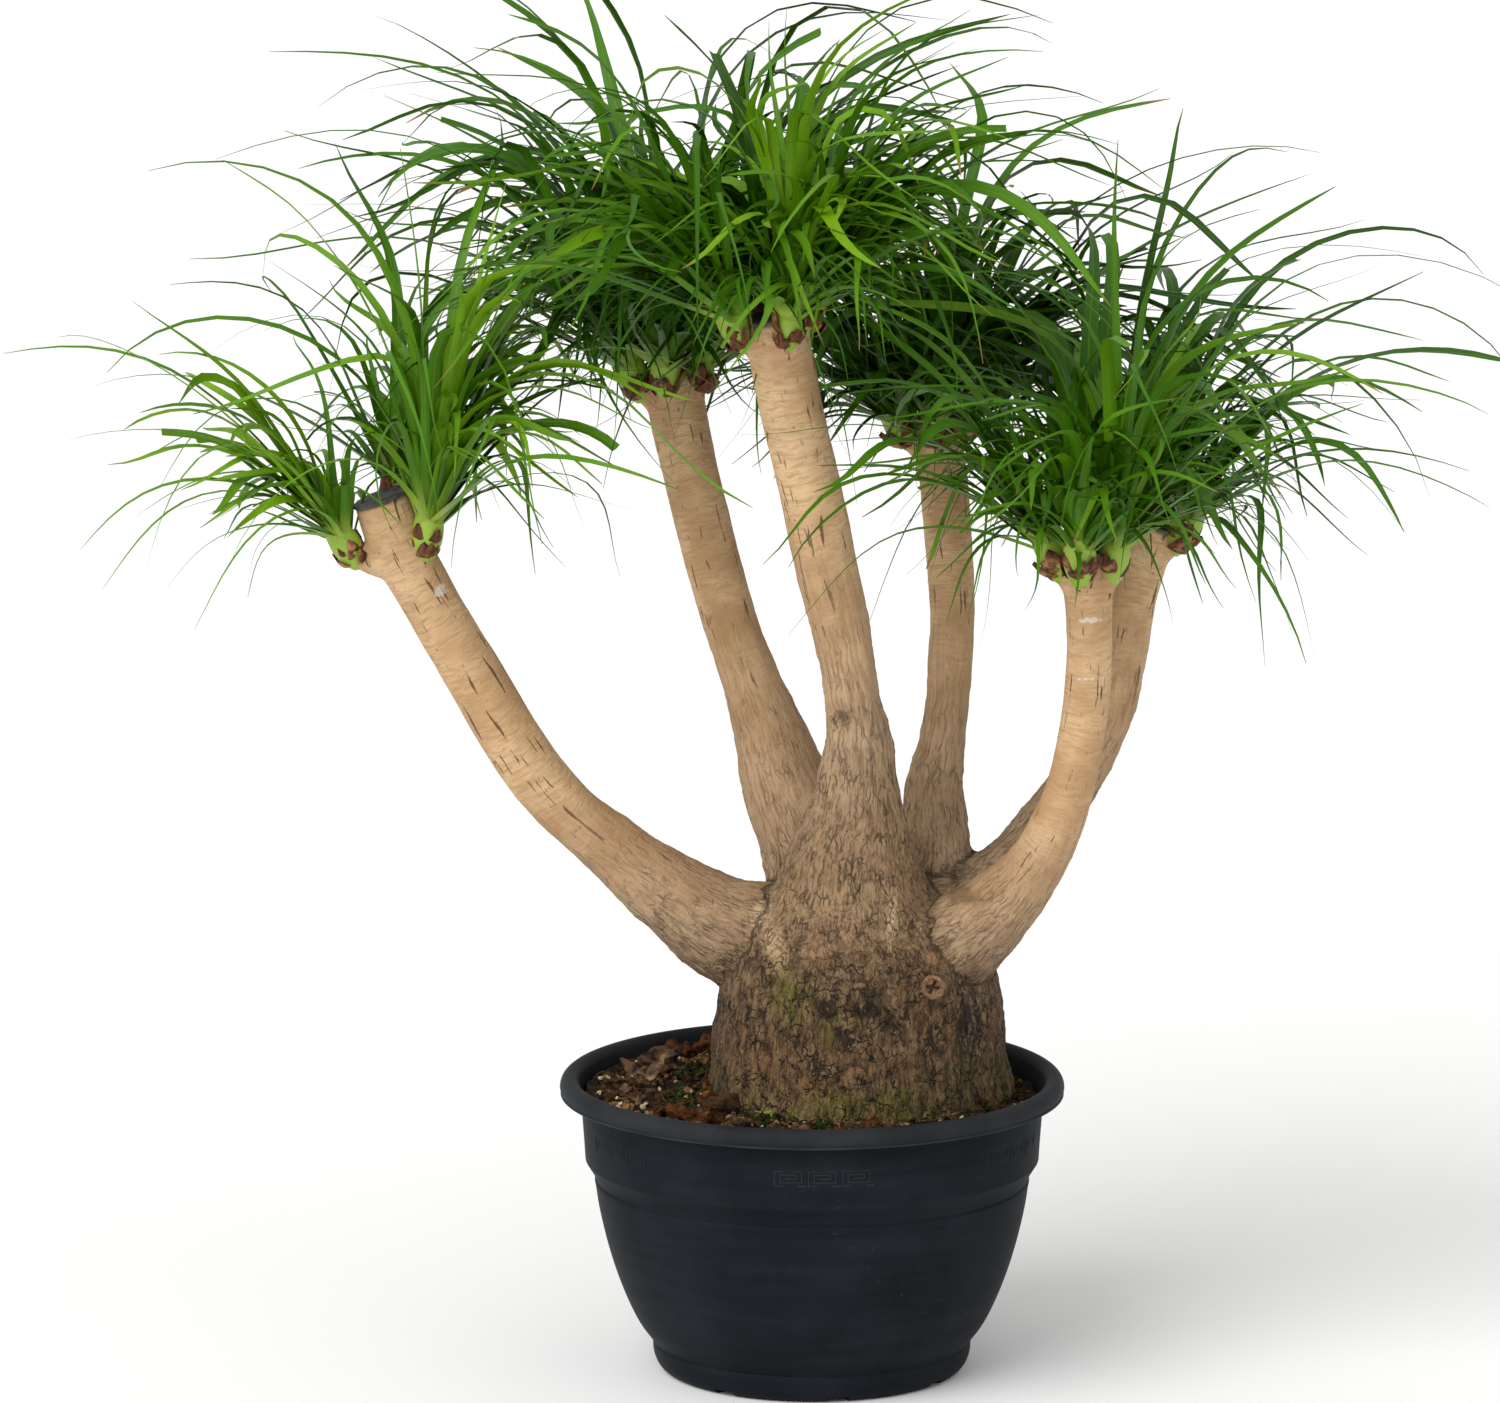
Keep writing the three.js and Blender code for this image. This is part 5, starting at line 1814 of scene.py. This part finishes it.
@dataclass
class Bases:
    """What a shoot sits on: its swollen pale heart, and the dry scales round its foot."""

    planted: Planted
    heart_outline: tuple[Pair, ...] = (
        (0, -10), (6, -8), (9.5, 0), (11.5, 8), (11.8, 16), (10.5, 26), (8, 36), (5, 46), (0, 52),
    )
    scales: int = 13
    scale_ring: float = 9.5
    sides: int = 16
    # Depth, number and twist of a heart's ribs
    ribs: Triple = (0.06, 5, 0.09)
    grid: int = 5
    # Length, half width and thickness
    scale_size: Triple = (16, 6.5, 0.5)
    scale_shape: Pair = (1.8, 0.7)
    bulge: Triple = (2.6, 1.1, 2.0)
    cup: float = 2.2
    # Least and most of what is drawn for each heart and scale
    heart_sizes: Pair = (0.85, 1.1)
    scale_turn: float = 20
    lifts: Pair = (-6, 7)
    leans: Pair = (0.05, 0.55)
    scale_sizes: Pair = (0.5, 1.3)
    youth_sizes: Pair = (1.2, 0.7)
    # Places in the row of draws that no leaf uses
    heart_draw: int = 900
    scale_draws: tuple[int, int, int] = (300, 400, 500)

    def heart(self) -> Piece:
        """One heart, ribbed by the bases of its leaves."""
        outline = smooth_route(np.array(self.heart_outline, float), 2)
        outline[0, 0] = outline[-1, 0] = 0
        points, faces = turned([tuple(row) for row in outline], self.sides)
        angle = np.arctan2(points[:, 1], points[:, 0])
        depth, many, twist = self.ribs
        points[:, :2] *= (1 + depth * np.cos(many * angle + points[:, 2] * twist))[:, None]
        return new_piece("heart", points * MM, faces)

    def scale(self) -> Piece:
        """One papery scale: a cupped leaf shape that narrows to a blunt point, standing on the origin."""
        grid, total = self.grid, self.grid**2
        length, width, thick = self.scale_size
        full, narrow = self.scale_shape
        belly, early, curl = self.bulge
        front = []
        for row in range(grid):
            t = row / (grid - 1)
            half = width * (1 - t**full) ** narrow + 0.4
            bulge = belly * math.sin(math.pi * min(1, t * early)) + curl * t * t
            for column in range(grid):
                s = 2 * column / (grid - 1) - 1
                front.append((bulge - self.cup * s * s, s * half, length * t))
        back = [(x - thick, y, z) for x, y, z in front]
        faces: Faces = []
        for row in range(grid - 1):
            for a in range(row * grid, row * grid + grid - 1):
                faces.append((a, a + 1, a + 1 + grid, a + grid))
                faces.append((total + a, total + a + grid, total + a + 1 + grid, total + a + 1))
        rim = [*range(grid), *range(2 * grid - 1, total, grid)]
        rim += [*range(total - 2, total - grid - 1, -1), *range(total - 2 * grid, 0, -grid)]
        for a, b in zip(rim, rim[1:] + rim[:1]):
            faces.append((b, a, total + a, total + b))
        return new_piece("scale", np.array(front + back) * MM, faces)

    def build(self) -> None:
        """Makes the hearts and the scales of all the shoots."""
        hearts, scales = [], []
        for number, shoot in enumerate(SHOOTS.values()):
            axis = lean_axis(shoot)
            size = between(self.heart_sizes, drawn(number, self.heart_draw, "tone"))
            hearts.append((np.array(shoot.at), turn_to(axis), (size, size, size)))
            for scale in range(self.scales):
                turn = scale * 360 / self.scales + self.scale_turn * drawn(number, scale, "tone")
                around = math.radians(turn)
                out = upright_to(axis) @ np.array((math.cos(around), math.sin(around), 0))
                lift, lean, grown = (
                    between(bounds, drawn(number, draw + scale, "cut"))
                    for draw, bounds in zip(self.scale_draws, (self.lifts, self.leans, self.scale_sizes))
                )
                size = grown * between(self.youth_sizes, shoot.youth)
                spot = np.array(shoot.at) + axis * lift + out * self.scale_ring
                scales.append((spot, turn_to(unit(axis + out * lean), out), (size, size, size)))
        piece = self.planted.plant("shoot_hearts", self.heart(), hearts, HEART)
        for name, value in (("out", 0.03), ("youth", 0.5)):
            give_attribute(piece, name, np.full(len(piece.data.vertices), value))
        dress(piece, HEART, sharp=60)
        dress(self.planted.plant("shoot_scales", self.scale(), scales, HUSK), HUSK, sharp=60)


# ------------------------------------------------------------------------------------------ soil


@dataclass(frozen=True)
class Chunk:
    """One of the large chunks that lie on the soil: its finish, x, y, turn and size."""

    name: str
    finish: Finish
    x: float
    y: float
    turn: float
    size: Triple


@dataclass(frozen=True)
class Litter:
    """What is strewn on the soil, and how: its shapes are made for each number up to how many there are."""

    name: str
    finish: Finish
    shape: Callable[[int], Piece]
    shapes: int
    density: float
    gap: float
    seed: int
    sizes: Pair
    sink: float
    patch: float
    rim: float
    inner: float = 0.0
    outer: float = 1.0

    def values(self, near: float) -> dict:
        """The values of the strewing tree's inputs, for a foot whose skin is so near its axis."""
        return {
            "Density": self.density, "Gap": self.gap, "Seed": self.seed, "Least": self.sizes[0],
            "Most": self.sizes[1], "Sink": self.sink, "Patch": self.patch, "Rim": self.rim,
            "Inner": near + self.inner, "Outer": min(1.0, near + self.outer),
            "Finish": self.finish.material(),
        }

    def box(self) -> bpy.types.Collection:
        """A collection of the shapes, which are only copied, never shown."""
        box = bpy.data.collections.new(self.name)
        for number in range(self.shapes):
            piece = self.shape(number)
            bpy.context.scene.collection.objects.unlink(piece)
            box.objects.link(piece)
        return box


def lump(name: str, size: Triple, rough: float, seed: float, cuts: int = 2) -> Piece:
    """A small closed lump of a given size, roughened by noise."""
    outline = arc((0, 0), (1, 1), (-90, 90), 3 * cuts)
    outline[0], outline[-1] = (0, -1), (0, 1)
    points, faces = turned(outline, 4 * cuts)
    for point in points:
        point *= 1 + rough * noise.noise(Vector(point) * 1.7 + Vector((seed, 0, 0)))
    return new_piece(name, points * np.array(size) * MM / 2, faces)


def sprig(name: str, length: float, thick: float, bend: float, sides: int = 5, steps: int = 6) -> Piece:
    """A thin bent fibre or twig lying along X."""
    ring = np.radians(np.arange(sides) * 360 / sides)
    rings = []
    for step in range(steps + 1):
        t = step / steps - 0.5
        radius = thick * (1 - 1.3 * t * t) / 2
        rings.append(np.column_stack([
            np.full(sides, length * t), bend * math.cos(math.pi * t) + radius * np.cos(ring),
            0.3 * bend * math.sin(5 * t) + radius * np.sin(ring),
        ]))
    return new_piece(name, np.concatenate(rings) * MM, lofted(rings))


def put(piece: Piece, turn: float, place: Triple) -> None:
    """Turns a piece about Z and moves it, in its mesh."""
    set_points(piece, points_of(piece) @ level_turn(turn).T + np.array(place) * MM)


LITTER = (
    Litter(
        "soil_chips", CHIP,
        lambda n: lump(f"chip_{n}", (12 + 4 * n, 9 + 2 * n, 8 + 2 * (n % 3)), 0.9, n * 3.1, 4), 5,
        density=2200.0, gap=0.024, seed=3, sizes=(0.5, 1.2), sink=-0.001, patch=0.35, rim=0.158, inner=8 * MM,
    ),
    Litter(
        "soil_fibres", FIBRE,
        lambda n: lump(f"fibre_{n}", (15 + 3 * n, 14, 12), 1.0, n * 1.7 + 2, 4), 4,
        density=2400.0, gap=0.019, seed=29, sizes=(0.5, 1.2), sink=-0.001, patch=0.7, rim=0.162, inner=6 * MM,
    ),
    Litter(
        "soil_crumbs", CRUMB,
        lambda n: lump(f"crumb_{n}", (6 + n, 5, 4.5), 1.1, n * 5.7 + 1), 5,
        density=34000.0, gap=0.0042, seed=5, sizes=(0.4, 1.5), sink=0.0004, patch=0.35, rim=0.170,
    ),
    Litter(
        "soil_perlite", PERLITE,
        lambda n: lump(f"bead_{n}", (4.6, 3.9, 3.0), 1.2, n * 2.3 + 4, 1), 4,
        density=6500.0, gap=0.006, seed=11, sizes=(0.3, 1.25), sink=-0.0018, patch=0.85, rim=0.170,
    ),
    Litter(
        "soil_moss", MOSS,
        lambda n: lump(f"tuft_{n}", (9, 8, 5), 1.3, n * 4.4 + 8), 3,
        density=30000.0, gap=0.005, seed=17, sizes=(0.5, 1.2), sink=-0.0012, patch=1.0, rim=0.170,
        inner=-3 * MM, outer=40 * MM,
    ),
    Litter(
        "soil_twigs", TWIG,
        lambda n: sprig(f"sprig_{n}", 16 + 9 * n, 1.1 + 0.3 * (n % 2), 3 - 2 * n), 4,
        density=5000.0, gap=0.010, seed=23, sizes=(0.4, 1.0), sink=-0.0030, patch=0.4, rim=0.160,
    ),
)


@dataclass
class Soil:
    """The potting mix: its uneven top, and the bark chips, perlite, moss and twigs that lie on it."""

    radius: float = 178.9
    edge_height: float = 218
    crown_height: float = 222.5
    slope: Pair = (154, 129)
    # Radius and height of the soil's sides, from its underside up
    walls: tuple[Pair, ...] = ((0, 11), (118, 11), (135, 42), (157, 99), (168, 150), (178.9, 175))
    rings: int = 64
    sides: int = 220
    trunk_radius: float = 111
    # Scale of the noise that makes them, and their height
    lumps: Pair = (0.045, 3.8)
    clods: Pair = (0.16, 3.0)
    chunks: tuple[Chunk, ...] = (
        Chunk("soil_chunk_grey", CHIP, -122, 63, 20, (40, 24, 22)),
        Chunk("soil_chunk_rust", FIBRE, -108, 112, 50, (26, 22, 20)),
        Chunk("soil_chunk_rust_low", FIBRE, -82, 126, -10, (26, 18, 20)),
        Chunk("soil_chunk_stone", CHIP, -146, -14, 70, (20, 15, 12)),
        Chunk("soil_chunk_clod", CRUMB, -72, -78, 15, (32, 26, 18)),
        Chunk("soil_chunk_front", FIBRE, -84, -108, 35, (30, 20, 14)),
        Chunk("soil_chunk_right", CRUMB, 128, -50, 60, (24, 18, 14)),
    )
    chunk_rough: float = 0.8
    chunk_rise: float = 0.25
    scrap: Triple = (20, 4.5, 4)
    scrap_place: Triple = (-38, -96, -50)
    heap: float = 8
    heap_turn: float = 155
    # The heap rises between these distances from the pot's axis
    heap_slope: Pair = (118, 160)
    copy_tilt: float = 0.7
    patch_scale: float = 24

    def height_at(self, x: float, y: float) -> float:
        """The height of the soil's top at a place, in millimetres."""
        reach = math.hypot(x, y)
        share = held((self.slope[0] - reach) / (self.slope[0] - self.slope[1]))
        heaped = held((reach - self.heap_slope[0]) / (self.heap_slope[1] - self.heap_slope[0]))
        heaped *= max(0, math.cos(math.atan2(y, x) - math.radians(self.heap_turn))) ** 0.5
        level = between((self.edge_height, self.crown_height), share) + self.heap * heaped
        (lump_scale, lump_rise), (clod_scale, clod_rise) = self.lumps, self.clods
        lumps = noise.fractal(Vector((x, y, 3.0)) * lump_scale, 0.9, 2.1, 4)
        clods = noise.noise(Vector((x, y, 9.0)) * clod_scale)
        return level + lump_rise * lumps + clod_rise * clods

    def ground(self) -> Piece:
        """The body of the soil, whose top is uneven."""
        reach = [(self.radius * (ring / self.rings) ** 0.8, 0.0) for ring in range(self.rings, -1, -1)]
        points, faces = turned([*self.walls, *reach], self.sides)
        for point in points:
            if point[2] == 0:
                point[2] = self.height_at(point[0], point[1])
        return new_piece("soil_top", points * MM, faces)

    def strewn(self) -> Growth:
        """Scatters pieces of a collection over the soil's top, away from the trunk."""
        tree = Growth("strewn", {
            "Pieces": bpy.types.Collection, "Density": float, "Gap": float, "Seed": int, "Least": float,
            "Most": float, "Inner": float, "Outer": float, "Rim": float, "Sink": float, "Patch": float,
        })
        place = tree.add("GeometryNodeInputPosition")
        x, y, z = (tree.part(place, axis) for axis in "XYZ")
        across = ((x - FOOT_AXIS[0] * MM) ** 2.0 + (y - FOOT_AXIS[1] * MM) ** 2.0) ** 0.5
        middle = (x ** 2.0 + y ** 2.0) ** 0.5
        free = (z > 0.2) * (across > tree.given("Inner")) * (across < tree.given("Outer"))
        moved = tree.joined(X=x + tree.given("Seed"), Y=y, Z=z)
        patch = tree.noise(moved, self.patch_scale, 2, 0.5).step(0.44, 0.58)
        share = free * (middle < tree.given("Rim")) * (1 - tree.given("Patch") * (1 - patch))
        spots = tree.add("GeometryNodeDistributePointsOnFaces", {"distribute_method": "POISSON"}, {
            "Mesh": tree.given("Mesh"), "Distance Min": tree.given("Gap"), "Seed": tree.given("Seed"),
            "Density Max": tree.given("Density"), "Density Factor": share,
        }, "Points")
        tilt = self.copy_tilt
        turn = tree.add("FunctionNodeRandomValue", {"data_type": "FLOAT_VECTOR"}, {
            "Min": (-tilt, -tilt, 0.0), "Max": (tilt, tilt, 6.283), "Seed": tree.given("Seed"),
        })
        size = tree.add("FunctionNodeRandomValue", {"data_type": "FLOAT"}, {
            "Min_001": tree.given("Least"), "Max_001": tree.given("Most"), "Seed": tree.given("Seed"),
        }, "Value_001")
        pieces = tree.add("GeometryNodeCollectionInfo", None, {
            "Collection": tree.given("Pieces"), "Separate Children": True, "Reset Children": True,
        })
        copies = tree.add("GeometryNodeInstanceOnPoints", None, {
            "Points": spots, "Instance": pieces, "Pick Instance": True, "Scale": size,
            "Rotation": tree.add("FunctionNodeEulerToRotation", None, {0: turn}),
        })
        tree.close(tree.add("GeometryNodeTranslateInstances", None, {
            "Instances": copies, "Translation": tree.joined(Z=0 - tree.given("Sink")), "Local Space": False,
        }))
        return tree

    def build(self) -> None:
        """Makes the soil and what lies on it."""
        ground = self.ground()
        tree = self.strewn()
        for litter in LITTER:
            shapes = litter.box()
            base = link("strewn_base", ground.data.copy())
            values = litter.values(self.trunk_radius * MM) | {"Pieces": shapes}
            dress(tree.run(base, litter.name, values), litter.finish, sharp=50)
            for shape in list(shapes.objects):
                bpy.data.objects.remove(shape)
        dress(ground, SOIL, "soil", sharp=60)
        for number, chunk in enumerate(self.chunks):
            x, y = chunk.x, chunk.y
            piece = lump(chunk.name, chunk.size, self.chunk_rough, number * 2.9 + 6, 5)
            put(piece, chunk.turn, (x, y, self.height_at(x, y) + self.chunk_rise * chunk.size[2]))
            dress(piece, chunk.finish, sharp=50)
        x, y, turn = self.scrap_place
        scrap = sprig("soil_leaf_scrap", *self.scrap)
        put(scrap, turn, (x, y, self.height_at(x, y) + 3))
        dress(scrap, HEART, sharp=50)


# ---------------------------------------------------------------------------------------- studio


@dataclass
class Studio:
    """The floor, the light and the camera."""

    camera_place: Triple = (0, -7.0, 1.8509)
    pitch: float = 10.626
    yaw: float = 0.403
    lens: float = 217.3
    sensor: float = 36.0
    floor_size: float = 80.0
    room_light: float = 0.66
    suns: tuple[tuple[str, Pair, float, float], ...] = (
        ("key", (52, -42), 2.3, 50), ("fill", (60, 30), 0.35, 80),
    )

    def build(self) -> None:
        """Sets up the floor, the lights and the camera."""
        half = self.floor_size / 2
        corners = np.array([(-half, -half, 0), (half, -half, 0), (half, half, 0), (-half, half, 0)])
        floor = new_piece("studio_floor", corners, [(0, 1, 2, 3)])
        floor.data.materials.append(FLOOR.material())
        for sun in self.suns:
            self.sun(*sun)
        world = bpy.data.worlds.new("soft_room")
        world.use_nodes = True
        background = world.node_tree.nodes["Background"]
        background.inputs["Color"].default_value = (1.0, 1.0, 1.0, 1.0)
        background.inputs["Strength"].default_value = self.room_light
        bpy.context.scene.world = world
        bpy.context.scene.view_settings.view_transform = "Standard"
        data = bpy.data.cameras.new("camera")
        data.lens = self.lens
        data.sensor_width = self.sensor
        data.sensor_fit = "HORIZONTAL"
        camera = bpy.data.objects.new("camera", data)
        camera.location = self.camera_place
        camera.rotation_euler = (math.radians(90 - self.pitch), 0, math.radians(self.yaw))
        bpy.context.scene.collection.objects.link(camera)
        bpy.context.scene.camera = camera

    @staticmethod
    def sun(name: str, slope: Pair, strength: float, softness: float) -> None:
        """A soft sun that leans from overhead by so much towards the front, and so much to the side."""
        data = bpy.data.lights.new(name, "SUN")
        data.energy = strength
        data.angle = math.radians(softness)
        sun = bpy.data.objects.new(name, data)
        sun.rotation_euler = (math.radians(slope[0]), 0, math.radians(slope[1]))
        bpy.context.scene.collection.objects.link(sun)


def main() -> None:
    """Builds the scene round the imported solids."""
    logging.basicConfig(level=logging.INFO, format="%(message)s")
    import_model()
    Studio().build()
    Pot().build()
    Soil().build()
    Trunk().build()
    Seals().build()
    Leaves().build()
    Bases(Planted()).build()


if __name__ == "__main__":
    main()
